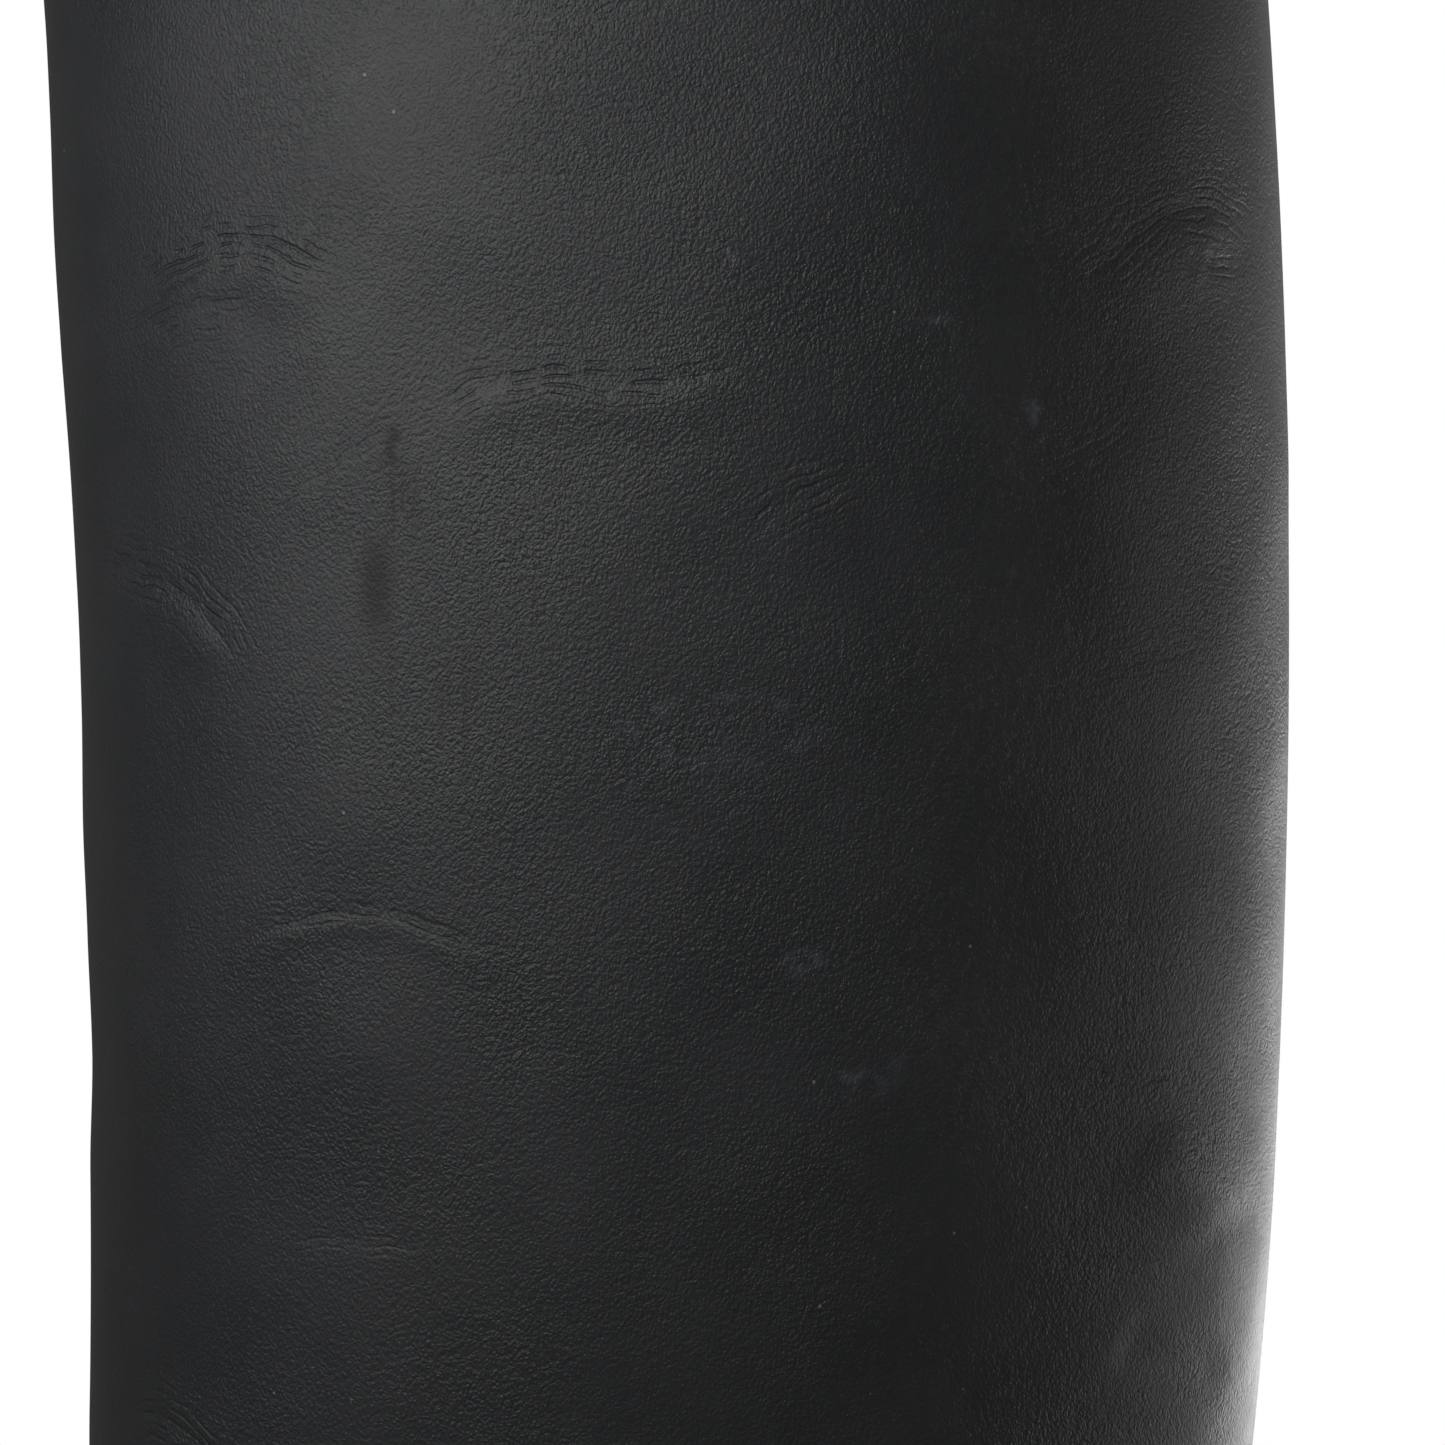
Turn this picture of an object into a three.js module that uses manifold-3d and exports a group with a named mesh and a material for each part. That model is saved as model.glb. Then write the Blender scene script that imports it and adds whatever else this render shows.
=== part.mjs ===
// A tall leather riding boot for the left foot, with an inner zip, a welted sole and a stacked heel.
// Millimetres, +Z up. The toe points to -X, the outer (lateral) side faces -Y and the inner
// (medial) side, with the zip, faces +Y. The origin is the centre of the footprint's box, on the floor.
import * as THREE from "three";
import { mergeVertices } from "three/addons/utils/BufferGeometryUtils.js";
import Module from "manifold-3d";

const wasm = await Module();
wasm.setup();

// ---- driving dimensions ----
const LAST_LENGTH = 264; // heel to toe along the insole
const BALL_LATERAL = 48.5; // half widths of the upper at the ball of the foot
const BALL_MEDIAL = 45;
const CALF_DEPTH = 133.6; // front to back at the calf
const CALF_LATERAL = 54; // outer half width at the calf
const BACK_LINE = 9.4; // how far the calf stands behind the heel
const TOP_HEIGHT = 430; // mean height of the top line
const TOP_SLOPE = 6; // the top line is this much higher in front, and lower behind
const ANKLE_HEIGHT = 146; // where the front of the leg turns into the instep
const HEEL_SEAT = 32; // height of the insole at the heel
const TOE_SPRING = 6; // rise of the toe
const TOE_SWING = 7; // how far the toe turns inward

// ---- material thicknesses and clearances ----
const GAP = 0.3; // between pieces that are glued or stacked
const LEATHER = 1.6;
const STIFFENER = 0.8;
const STIFFENER_GAP = 0.5;
const LINING = 1.0;
const TAPE = 0.6;
const FEATHER = 0.7; // between the upper and the insole line
const OVERLAY = 1.2; // laid-on leather
const OVERLAY_GAP = 0.55; // under it
const INSOLE = 2.2;
const SOCK = 1.0;
const WELT = 3.0;
const OUTSOLE = 4.5;
const TOP_PIECE = 6.0;
const LIFTS = 4;

// ---- sole ----
const WELT_EXTENSION = 7; // beyond the feather line, at the forefoot
const HEEL_EXTENSION = 5.5;
const WELT_WIDTH = 13;
const SEAM_ALLOWANCE = 6; // insole edge inside the feather line
const HEEL_LENGTH = 70;
const HEEL_TAPER = 0.8; // each layer of the heel is this much smaller than the one above
const NAIL_RADIUS = 1.0;
const NAIL_HEAD = 0.8; // how deep the nail heads are sunk in the top piece
const SHANK = { length: 96, width: 14, thickness: 1.4 };

// ---- zip ----
const ZIP_X = -62; // the zip runs straight up the inner side
const ZIP_BOTTOM = 90; // height of its lower end
const ZIP_BOTTOM_Y = 38.1; // half width of the inner side at the zip's lower end
const ZIP_TOP_Y = 53; // and at the top line
const ZIP_OPENING = 7.5; // half width of the gap in the leather
const TAPE_WIDTH = 11; // of each tape
const TOOTH_IN = 0.5; // the tooth rows lie from here
const TOOTH_OUT = 3.0; // to here, either side of the middle
const TOOTH_HALF = 1.2; // half thickness of the rows
const SLIDER = { length: 15, half: 5.2, plate: 1.2, clear: 0.4, flange: 1.3, post: 0.25 };
const PULL = { width: 7, length: 27, thickness: 1.4, slot: 3.4, bar: 0.8 };

// ---- vamp seam, in levels up the leg and turns round it ----
const VAMP_LEVEL = 5.7; // the vamp's height at the instep
const VAMP_TURN = 0.3; // where its seam meets the sole
const SEAM = 1.4; // between pieces that meet edge to edge, measured up the leg

const BALL_SEAT = OUTSOLE + WELT + 2 * GAP;
const calfFront = BACK_LINE - CALF_DEPTH;
const legHeight = (share) => ANKLE_HEIGHT + share * (TOP_HEIGHT - ANKLE_HEIGHT);
const innerSide = (z) =>
  ZIP_BOTTOM_Y + ((ZIP_TOP_Y - ZIP_BOTTOM_Y) * (z - ZIP_BOTTOM)) / (TOP_HEIGHT - ZIP_BOTTOM);
const smooth = (s) => {
  const c = Math.min(1, Math.max(0, s));
  return c * c * (3 - 2 * c);
};
const lerp = (a, b, s) => a + (b - a) * s;

// Height of the insole along the foot: level heel seat, sloping waist, level ball, rising toe.
function seat(x) {
  const s = -x / LAST_LENGTH;
  const spring = Math.max(0, (s - 0.78) / 0.22) ** 2;
  return lerp(HEEL_SEAT, BALL_SEAT, smooth((s - 0.27) / 0.33)) + TOE_SPRING * spring;
}

// ---- the outside of the upper, as cross-sections from the sole to the top line ----
// Each level runs from a front point to a back point. A foot level gives its front as a share of the way
// from the ankle to the toe, with a rise above the ball, its back as an offset, with a rise above the heel
// seat, and its widest place as a share of the way from the zip to the ball.
const ankleFront = calfFront - 5.5;
const ballX = -0.7 * LAST_LENGTH;
const footLevel = (front, rise, back, heelRise, lateral, medial, widest, nf, nb, waist) => ({
  xf: lerp(ankleFront, -LAST_LENGTH, front),
  zf: BALL_SEAT + rise,
  xb: back,
  zb: HEEL_SEAT + heelRise,
  lateral: BALL_LATERAL * lateral,
  medial: BALL_MEDIAL * medial,
  xw: lerp(ZIP_X, ballX, widest),
  nf,
  nb,
  waist,
});
// A leg level gives its height as a share of the leg, and how far its front and back stand from the calf's.
const legLevel = (share, front, back, lateral, nf, nb, slope = 0) => ({
  xf: calfFront + front,
  zf: legHeight(share) + slope,
  xb: BACK_LINE + back,
  zb: legHeight(share) - slope,
  lateral: CALF_LATERAL * lateral,
  medial: innerSide(legHeight(share)),
  xw: ZIP_X,
  nf,
  nb,
  waist: 0,
});
const LEVELS = [
  footLevel(0.984, TOE_SPRING + FEATHER, -2, FEATHER, 0.91, 0.91, 1, 2.3, 2.7, 1),
  footLevel(1.012, 18, 0.5, 14, 1, 1, 1, 2.3, 2.7, 1),
  footLevel(0.97, 29, 1.5, 29, 0.99, 0.99, 0.957, 2.2, 2.6, 0.9),
  footLevel(0.837, 38.5, 0, 43, 0.93, 0.95, 0.72, 2.1, 2.5, 0.6),
  footLevel(0.626, 50, -3, 56, 0.855, 0.905, 0.355, 2, 2.4, 0.25),
  footLevel(0.4, 67, -6, 69, 0.815, 0.868, 0.108, 1.95, 2.3, 0),
  footLevel(0.223, 89, -7.5, 82, 0.795, 0.866, 0, 1.9, 2.2, 0),
  footLevel(0.082, 114, -7.5, 97, 0.8, 0.885, 0, 1.9, 2.1, 0),
  legLevel(0, -5.5, -14.5, 0.765, 1.95, 2.05),
  legLevel(0.105, -0.2, -9.8, 0.82, 2, 2.05),
  legLevel(0.23, 1.9, -4.3, 0.89, 2, 2.05),
  legLevel(0.37, 2.3, -1.2, 0.95, 2.05, 2.05),
  legLevel(0.57, 0.2, 0.4, 1.0, 2.05, 2.05),
  legLevel(0.79, -3.8, -1.4, 1.005, 2.1, 2.1, TOP_SLOPE / 3),
  legLevel(1, -8.8, -6.6, 0.985, 2.1, 2.1, TOP_SLOPE),
];
const TOP = LEVELS.length - 1;

// Uniform cubic B-spline through the levels' values; it meets the first and the last value exactly.
function level(t, key) {
  const k = Math.min(TOP - 1, Math.max(0, Math.floor(t)));
  const f = t - k;
  const value = (i) => {
    if (i < 0) return 2 * LEVELS[0][key] - LEVELS[1][key];
    if (i > TOP) return 2 * LEVELS[TOP][key] - LEVELS[TOP - 1][key];
    return LEVELS[i][key];
  };
  return (
    (value(k - 1) * (1 - f) ** 3 +
      value(k) * (3 * f ** 3 - 6 * f * f + 4) +
      value(k + 1) * (-3 * f ** 3 + 3 * f * f + 3 * f + 1) +
      value(k + 2) * f ** 3) /
    6
  );
}

// A point on the upper's outside. u turns from the front (0) by the outer side (0.25) and the back (0.5)
// to the inner side (0.75); t climbs the levels.
function surface(u, t) {
  const angle = 2 * Math.PI * u;
  const c = Math.cos(angle);
  const s = Math.sin(angle);
  const [xf, xb, xw] = ["xf", "xb", "xw"].map((key) => level(t, key));
  const middle = (xw - xf) / (xb - xf);
  const n = level(t, c > 0 ? "nf" : "nb");
  const away = Math.abs(c) ** (2 / n);
  const share = c > 0 ? middle * (1 - away) : middle + (1 - middle) * away;
  const x = lerp(xf, xb, share);
  const first = LEVELS[0];
  const sag = seat(lerp(first.xf, first.xb, share)) - lerp(seat(first.xf), seat(first.xb), share);
  const fade = 1 - smooth(t / 6);
  const zf = level(t, "zf");
  const zb = level(t, "zb");
  const half = level(t, s > 0 ? "lateral" : "medial");
  const pinch = level(t, "waist") * (s > 0 ? 4 : 9);
  const waist = pinch * Math.exp(-(((x + 0.45 * LAST_LENGTH) / (0.14 * LAST_LENGTH)) ** 2));
  const width = (half - waist) * Math.abs(s) ** (2 / n);
  const swing = TOE_SWING * Math.max(0, (-x / LAST_LENGTH - 0.55) / 0.45) ** 2;
  return new THREE.Vector3(x, swing - Math.sign(s) * width, lerp(zf, zb, share) + sag * fade);
}

function normal(u, t) {
  const d = 1e-3;
  const along = surface(u + d, t).sub(surface(u - d, t));
  const low = Math.max(0, t - d);
  const up = surface(u, Math.min(TOP, low + 2 * d)).sub(surface(u, low));
  return along.cross(up).normalize();
}

// The point `out` mm outside the surface, raised by `lift` mm. At the sole the offset is level, so that
// every layer is cut off at the same height.
function shifted(u, t, out, lift = 0) {
  const n = normal(u, t);
  n.z *= smooth(t / 0.6);
  const p = surface(u, t).addScaledVector(n.normalize(), out);
  p.z += lift;
  return p;
}

// The turn at which a level passes x, on the outer side; the inner side's is one minus it.
function turnAt(t, x) {
  const xf = level(t, "xf");
  const xb = level(t, "xb");
  const middle = (level(t, "xw") - xf) / (xb - xf);
  const share = (x - xf) / (xb - xf);
  const front = share < middle;
  const n = level(t, front ? "nf" : "nb");
  const away = front ? 1 - share / middle : (share - middle) / (1 - middle);
  const turn = Math.acos(Math.min(1, Math.max(0, away)) ** (n / 2)) / (2 * Math.PI);
  return front ? turn : 0.5 - turn;
}

// The level at which the turn u reaches the height z.
function levelAt(u, z) {
  let [low, high] = [0, TOP];
  for (let i = 0; i < 40; i++) {
    const mid = (low + high) / 2;
    if (surface(typeof u === "function" ? u(mid) : u, mid).z < z) low = mid;
    else high = mid;
  }
  return low;
}

// Millimetres of surface per level.
function perLevel(u, t) {
  const [low, high] = [Math.max(0, t - 0.05), Math.min(TOP, t + 0.05)];
  return surface(u, high).distanceTo(surface(u, low)) / (high - low);
}

// The level that lies `depth` mm below the top line.
const belowTop = (u, depth) => TOP - depth / perLevel(u, TOP);

// ---- meshes from grids ----
function geometryOf(points, triangles) {
  const geometry = new THREE.BufferGeometry();
  geometry.setAttribute(
    "position",
    new THREE.Float32BufferAttribute(points.flatMap((p) => [p.x, p.y, p.z]), 3),
  );
  geometry.setIndex(triangles);
  return geometry;
}

// A closed solid from a grid of section rings: rings[i][j] goes round section i. With `closed`, the last
// section joins the first; otherwise the ends are capped by `cap`, triangles of one section's corners.
function loft(rings, closed, cap) {
  const m = rings[0].length;
  const triangles = [];
  const id = (i, j) => (i % rings.length) * m + (j % m);
  for (let i = 0; i < rings.length - (closed ? 0 : 1); i++)
    for (let j = 0; j < m; j++) {
      triangles.push(id(i, j), id(i + 1, j), id(i + 1, j + 1));
      triangles.push(id(i, j), id(i + 1, j + 1), id(i, j + 1));
    }
  if (!closed) {
    const last = (rings.length - 1) * m;
    for (const [a, b, c] of cap) triangles.push(a, b, c, last + a, last + c, last + b);
  }
  return geometryOf(rings.flat(), triangles);
}

// A layer of the upper between two offsets. place(a, b) gives [u, t] for a and b from 0 to 1, and
// inner(a, b) and outer(a, b) the offsets. A closed layer goes all the way round in a.
function layer({ columns, rows, place, inner, outer, closed = false }) {
  const rings = [];
  for (let i = 0; i < columns.length - (closed ? 1 : 0); i++) {
    const side = (offset) =>
      rows.map((b) => shifted(...place(columns[i], b), offset(columns[i], b)));
    rings.push([...side(inner).reverse(), ...side(outer)]);
  }
  const r = rows.length;
  const cap = [];
  for (let j = 0; j < r - 1; j++) {
    const [in0, in1, out0, out1] = [r - 1 - j, r - 2 - j, r + j, r + j + 1];
    cap.push([in0, out0, out1], [in0, out1, in1]);
  }
  return loft(rings, closed, cap);
}

const steps = (count) => Array.from({ length: count + 1 }, (_, i) => i / count);
const turns = (from, to, count) => steps(count).map((a) => lerp(from, to, a));
const constant = (value) => () => value;

// ---- booleans ----
function solidOf(geometry) {
  const bare = geometry.clone();
  bare.deleteAttribute("normal");
  bare.deleteAttribute("uv");
  const merged = mergeVertices(bare, 1e-4);
  return new wasm.Manifold(
    new wasm.Mesh({
      numProp: 3,
      vertProperties: merged.attributes.position.array,
      triVerts: new Uint32Array(merged.index.array),
    }),
  );
}

function geometryFrom(solid) {
  const mesh = solid.getMesh();
  const geometry = new THREE.BufferGeometry();
  geometry.setAttribute("position", new THREE.BufferAttribute(mesh.vertProperties, 3));
  geometry.setIndex(new THREE.BufferAttribute(mesh.triVerts, 1));
  return geometry;
}

const box = (x0, x1, y0, y1, z0, z1) =>
  new THREE.BoxGeometry(x1 - x0, y1 - y0, z1 - z0).translate(
    (x0 + x1) / 2,
    (y0 + y1) / 2,
    (z0 + z1) / 2,
  );
const join = (first, ...more) => more.reduce((all, g) => all.add(solidOf(g)), first);

// ---- the assembly ----
const boot = new THREE.Group();
const MATERIALS = {
  leather: { color: 0x1a1b1d, roughness: 0.5, metalness: 0 },
  lining: { color: 0x9a7b55, roughness: 0.8, metalness: 0 },
  stiffener: { color: 0xcbb995, roughness: 0.9, metalness: 0 },
  board: { color: 0xa98a64, roughness: 0.9, metalness: 0 },
  cork: { color: 0xa9814e, roughness: 1, metalness: 0 },
  sole: { color: 0x2a1d14, roughness: 0.6, metalness: 0 },
  rubber: { color: 0x161616, roughness: 0.8, metalness: 0 },
  tape: { color: 0x151517, roughness: 0.95, metalness: 0 },
  metal: { color: 0xb9b6ae, roughness: 0.3, metalness: 1 },
};
function add(name, material, geometry) {
  const mesh = new THREE.Mesh(geometry, new THREE.MeshStandardMaterial(MATERIALS[material]));
  mesh.name = name;
  boot.add(mesh);
  return mesh;
}

// The zip's turn at a level, and the turn a distance in front of it (towards the toe) or behind it.
const zipTurn = (t, forward = 0) => 1 - turnAt(t, ZIP_X - forward);
const zipBottom = levelAt((t) => zipTurn(t), ZIP_BOTTOM);

// Half the gap between the leather panels: the zip's opening, closing to a seam below its lower end.
const opening = (t) => lerp(GAP / 2, ZIP_OPENING, smooth((t - zipBottom + 0.6) / 0.5));

// ---- columns and rows that neighbouring layers share, so that their facets run parallel ----
const COLUMN = 1 / 48;
const FREE_COLUMNS = 6; // those that follow the zip's edge
const LOW_ROWS = [0, 0.4, 0.9, 1.4, 1.9, 2.5, 3.2, 4.1, 4.9];
const LEG_ROWS = [6.5, 7.1, 7.7, 8.3, 9, 9.8, 10.8, 11.9, 13, TOP];
// Columns are closer together along the sides of the foot, where a turn covers the most ground.
const SIDE = { from: 11, to: 14 };
function columnsBetween(first, last) {
  const columns = [];
  for (let i = first; i < last; i++) {
    columns.push(i * COLUMN);
    const middle = Math.abs(i + 0.5);
    if (middle > SIDE.from && middle < SIDE.to) columns.push((i + 0.5) * COLUMN);
  }
  return [...columns, last * COLUMN];
}

// ---- vamp ----
const vampEdge = (u) => VAMP_LEVEL * Math.max(0, 1 - (Math.abs(u) / VAMP_TURN) ** 2.2);
const VAMP_END = VAMP_TURN * 0.985;
const vampRow = (u, row) => (row * vampEdge(u)) / VAMP_LEVEL;

function vamp() {
  const count = Math.floor(VAMP_END / COLUMN);
  return layer({
    columns: [-VAMP_END, ...columnsBetween(-count, count), VAMP_END],
    rows: [...LOW_ROWS, VAMP_LEVEL],
    place: (u, row) => [u, vampRow(u, row)],
    inner: constant(-LEATHER),
    outer: constant(0),
  });
}

// ---- leg panels: the outer panel wraps the outer side and the front; the inner panel closes the back ----
// Where a panel starts: at the sole, or a seam above the vamp.
function panelFoot(u) {
  const edge = vampEdge(u);
  return edge > 0 ? edge + SEAM / perLevel(u, edge) : 0;
}

// The rows of a panel, from its foot up to the first row that all of them share.
const FOOT_ROWS = 9;
const panelRow = (u, row) => (row < 0 ? lerp(panelFoot(u), LEG_ROWS[0], 1 + row) : row);
const PANEL_ROWS = [...turns(-1, 0, FOOT_ROWS).slice(0, -1), ...LEG_ROWS];

// A panel's column is from -1 to 0 between the zip's edge and the first fixed turn, and then the number
// of turns from there towards the back.
const panelTurn = (edge, fixed, column) =>
  column <= 0 ? lerp(edge, fixed, 1 + column) : fixed + column * Math.sign(0.5 - fixed);

// A panel's place: the column's turn depends on the level, and the row's level on the turn.
function panelPlace(edge, fixed, column, row) {
  let t = Math.max(row, 0);
  for (let i = 0; i < 8; i++) t = panelRow(panelTurn(edge(t), fixed, column), row);
  return [panelTurn(edge(t), fixed, column), t];
}

const frontEdge = (t) => zipTurn(t, opening(t)) - 1;
const backEdge = (t) => zipTurn(t, -opening(t));

// A panel from the zip's edge to the back seam. Its fixed turns start at the column numbered `first`.
function panel(edge, first) {
  const fixed = first * COLUMN;
  const direction = Math.sign(0.5 - fixed);
  const whole = direction > 0 ? columnsBetween(first, 24) : columnsBetween(24, first).reverse();
  const columns = [...turns(-1, 0, FREE_COLUMNS), ...whole.slice(1).map((u) => Math.abs(u - fixed))];
  const seamed = (u) => 0.5 - direction * Math.max(BACK_SEAM, direction * (0.5 - u));
  return layer({
    columns: direction > 0 ? columns : columns.reverse(),
    rows: PANEL_ROWS,
    place: (column, row) => {
      const [u, t] = panelPlace(edge, fixed, column, row);
      return [seamed(u), t];
    },
    inner: constant(-LEATHER),
    outer: constant(0),
  });
}
const BACK_SEAM = 0.0006; // half the back seam's gap, in turns

// ---- laid-on pieces at the heel ----
const COVER_COLUMNS = 5; // either side of the back seam
const COUNTER_LEVEL = 3.3;
const coverTop = (u) => {
  const away = Math.abs(u - 0.5) / (COVER_COLUMNS * COLUMN);
  return COUNTER_LEVEL * (1 - 0.75 * Math.min(1, away) ** 2.5);
};

function counterCover() {
  return layer({
    columns: columnsBetween(24 - COVER_COLUMNS, 24 + COVER_COLUMNS),
    rows: steps(6),
    place: (u, b) => [u, coverTop(u) * b],
    inner: constant(OVERLAY_GAP),
    outer: constant(OVERLAY_GAP + OVERLAY),
  });
}

const STRIP = { low: COUNTER_LEVEL + 0.06, high: 9.4, wide: 0.021, narrow: 0.013 };
function backStrip() {
  return layer({
    columns: steps(4),
    rows: [0, 0.1, 0.2, 0.3, 0.4, 0.5, 0.6, 0.7, 0.8, 0.9, 0.96, 1],
    place: (a, b) => {
      const end = Math.sqrt(Math.max(0.04, 1 - Math.max(0, (b - 0.9) / 0.1) ** 2));
      const half = lerp(STRIP.wide, STRIP.narrow, b) * end;
      const u = 0.5 + half * (2 * a - 1);
      return [u, lerp(coverTop(u) + 0.06, STRIP.high, b)];
    },
    inner: constant(OVERLAY_GAP),
    outer: constant(OVERLAY_GAP + OVERLAY),
  });
}

// ---- layers under the leather ----
const stiffenerOuter = -LEATHER - STIFFENER_GAP;
const stiffener = (columns, rows, place) =>
  layer({
    columns,
    rows,
    place,
    inner: constant(stiffenerOuter - STIFFENER),
    outer: constant(stiffenerOuter),
  });
// Both stiffeners end below the seam between the two linings.
const LINING_LEVEL = zipBottom - 1.25;
const STIFFENER_LEVEL = LINING_LEVEL - 0.9;
const toePuff = () =>
  stiffener(
    columnsBetween(-9, 9),
    LOW_ROWS.filter((row) => row < STIFFENER_LEVEL),
    (u, row) => [u, vampRow(u, row)],
  );
const HEEL_COUNTER_COLUMNS = 6;
const heelCounter = () =>
  stiffener(
    columnsBetween(24 - HEEL_COUNTER_COLUMNS, 24 + HEEL_COUNTER_COLUMNS),
    steps(5),
    (u, b) => {
      const away = Math.abs(u - 0.5) / (HEEL_COUNTER_COLUMNS * COLUMN);
      return [u, lerp(0.1, lerp(STIFFENER_LEVEL, 0.35 * STIFFENER_LEVEL, away ** 3), b)];
    },
  );

const footLiningOuter = stiffenerOuter - STIFFENER - STIFFENER_GAP - GAP;
function footLining() {
  return layer({
    columns: steps(40),
    rows: steps(7),
    place: (a, b) => [a, b * LINING_LEVEL],
    inner: constant(footLiningOuter - LINING),
    outer: constant(footLiningOuter),
    closed: true,
  });
}

const legLiningOuter = -LEATHER - GAP - TAPE - GAP - 0.1;
const LINING_OPENING = ZIP_OPENING + 1;
function legLining() {
  return layer({
    columns: steps(36),
    rows: steps(12),
    place: (a, b) => {
      const turn = (t) => lerp(zipTurn(t, LINING_OPENING) - 1, zipTurn(t, -LINING_OPENING), a);
      const t = lerp(LINING_LEVEL + 0.06, TOP, b);
      return [turn(t), t];
    },
    inner: constant(legLiningOuter - LINING),
    outer: constant(legLiningOuter),
  });
}

// ---- zip ----
const tapeOuter = -LEATHER - GAP;
const tapeMiddle = tapeOuter - TAPE / 2;
const tapeTop = belowTop(zipTurn(TOP), 6);
const tapeEdge = TOOTH_OUT + GAP;
// The turn from which the surface, moved out by `out`, passes `forward` of the zip's middle.
function offsetTurn(t, forward, out) {
  let guess = forward;
  for (let i = 0; i < 4; i++)
    guess += shifted(zipTurn(t, guess), t, out).x - (ZIP_X - forward);
  return zipTurn(t, guess);
}

function tape(side) {
  return layer({
    columns: steps(3),
    rows: [zipBottom + 0.02, ...LEG_ROWS.slice(0, -1), tapeTop],
    place: (a, t) => {
      const forward = side * (tapeEdge + TAPE_WIDTH * (side > 0 ? a : 1 - a));
      return [offsetTurn(t, forward, tapeMiddle), t];
    },
    inner: constant(tapeOuter - TAPE),
    outer: constant(tapeOuter),
  });
}

// The zip's straight line, from its lower to its upper end, with X across it and Z out of the leg.
const zipLow = shifted(offsetTurn(zipBottom, 0, tapeMiddle), zipBottom, tapeMiddle);
const zipHigh = shifted(offsetTurn(tapeTop, 0, tapeMiddle), tapeTop, tapeMiddle);
const zipUp = zipHigh.clone().sub(zipLow).normalize();
const zipLength = zipHigh.distanceTo(zipLow);
const zipFrame = new THREE.Matrix4().makeBasis(
  new THREE.Vector3(-1, 0, 0),
  zipUp,
  new THREE.Vector3(-1, 0, 0).cross(zipUp),
);
zipFrame.setPosition(zipLow);
const onZip = (name, material, geometry) =>
  add(name, material, geometry.applyMatrix4(zipFrame));

const STOP = { length: 3.5, space: 0.4 };
const sliderTop = zipLength - STOP.length - STOP.space;
const rowLow = STOP.length + STOP.space;

function zip() {
  add("zip_tape_front", "tape", tape(1));
  add("zip_tape_back", "tape", tape(-1));
  for (const [name, side] of [["front", 1], ["back", -1]]) {
    const [x0, x1] = [side * TOOTH_IN, side * TOOTH_OUT].sort((a, b) => a - b);
    onZip(
      `zip_teeth_${name}`,
      "metal",
      box(x0, x1, rowLow, sliderTop - 0.1, -TOOTH_HALF, TOOTH_HALF),
    );
    onZip(
      `zip_top_stop_${name}`,
      "metal",
      box(x0, x1, sliderTop + STOP.space, zipLength, -TOOTH_HALF - 0.2, TOOTH_HALF + 0.2),
    );
  }
  onZip(
    "zip_bottom_stop",
    "metal",
    box(-TOOTH_OUT, TOOTH_OUT, 0, STOP.length, -TOOTH_HALF - 0.2, TOOTH_HALF + 0.2),
  );
}

// ---- slider and pull ----
const channel = TOOTH_HALF + SLIDER.clear;
const plateTop = channel + SLIDER.plate;
const archRadius = 3.2;
const archHalf = 1.1;
const tunnelRadius = PULL.bar + 0.35;
const axisHeight = plateTop + tunnelRadius + 0.1;
const slotHalf = TAPE / 2 + 0.7;

function slider() {
  const { length, half, plate, flange, post } = SLIDER;
  const low = sliderTop - length;
  const middle = sliderTop - length / 2;
  const channelHalf = half - flange;
  const plates = [1, -1].map((side) => {
    const [z0, z1] = [side * channel, side * (channel + plate)].sort((a, b) => a - b);
    return box(-half, half, low, sliderTop, z0, z1);
  });
  const flanges = [1, -1].flatMap((side) =>
    [1, -1].map((face) => {
      const [x0, x1] = [side * channelHalf, side * half].sort((a, b) => a - b);
      const [z0, z1] = [face * slotHalf, face * (channel + 0.1)].sort((a, b) => a - b);
      return box(x0, x1, low, sliderTop, z0, z1);
    }),
  );
  const divider = box(-post, post, sliderTop - 5, sliderTop, -channel - 0.1, channel + 0.1);
  const arch = new THREE.CylinderGeometry(archRadius, archRadius, 2 * archHalf, 20)
    .rotateZ(Math.PI / 2)
    .translate(0, middle, axisHeight);
  const tunnel = new THREE.CylinderGeometry(tunnelRadius, tunnelRadius, 4 * archHalf, 16)
    .rotateZ(Math.PI / 2)
    .translate(0, middle, axisHeight);
  const below = box(-half, half, low, sliderTop, -axisHeight, channel + plate / 2);
  const loop = solidOf(arch).subtract(solidOf(below)).subtract(solidOf(tunnel));
  const body = join(solidOf(plates[0]), plates[1], ...flanges, divider).add(loop);
  onZip("zip_slider", "metal", geometryFrom(body));
}

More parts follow.
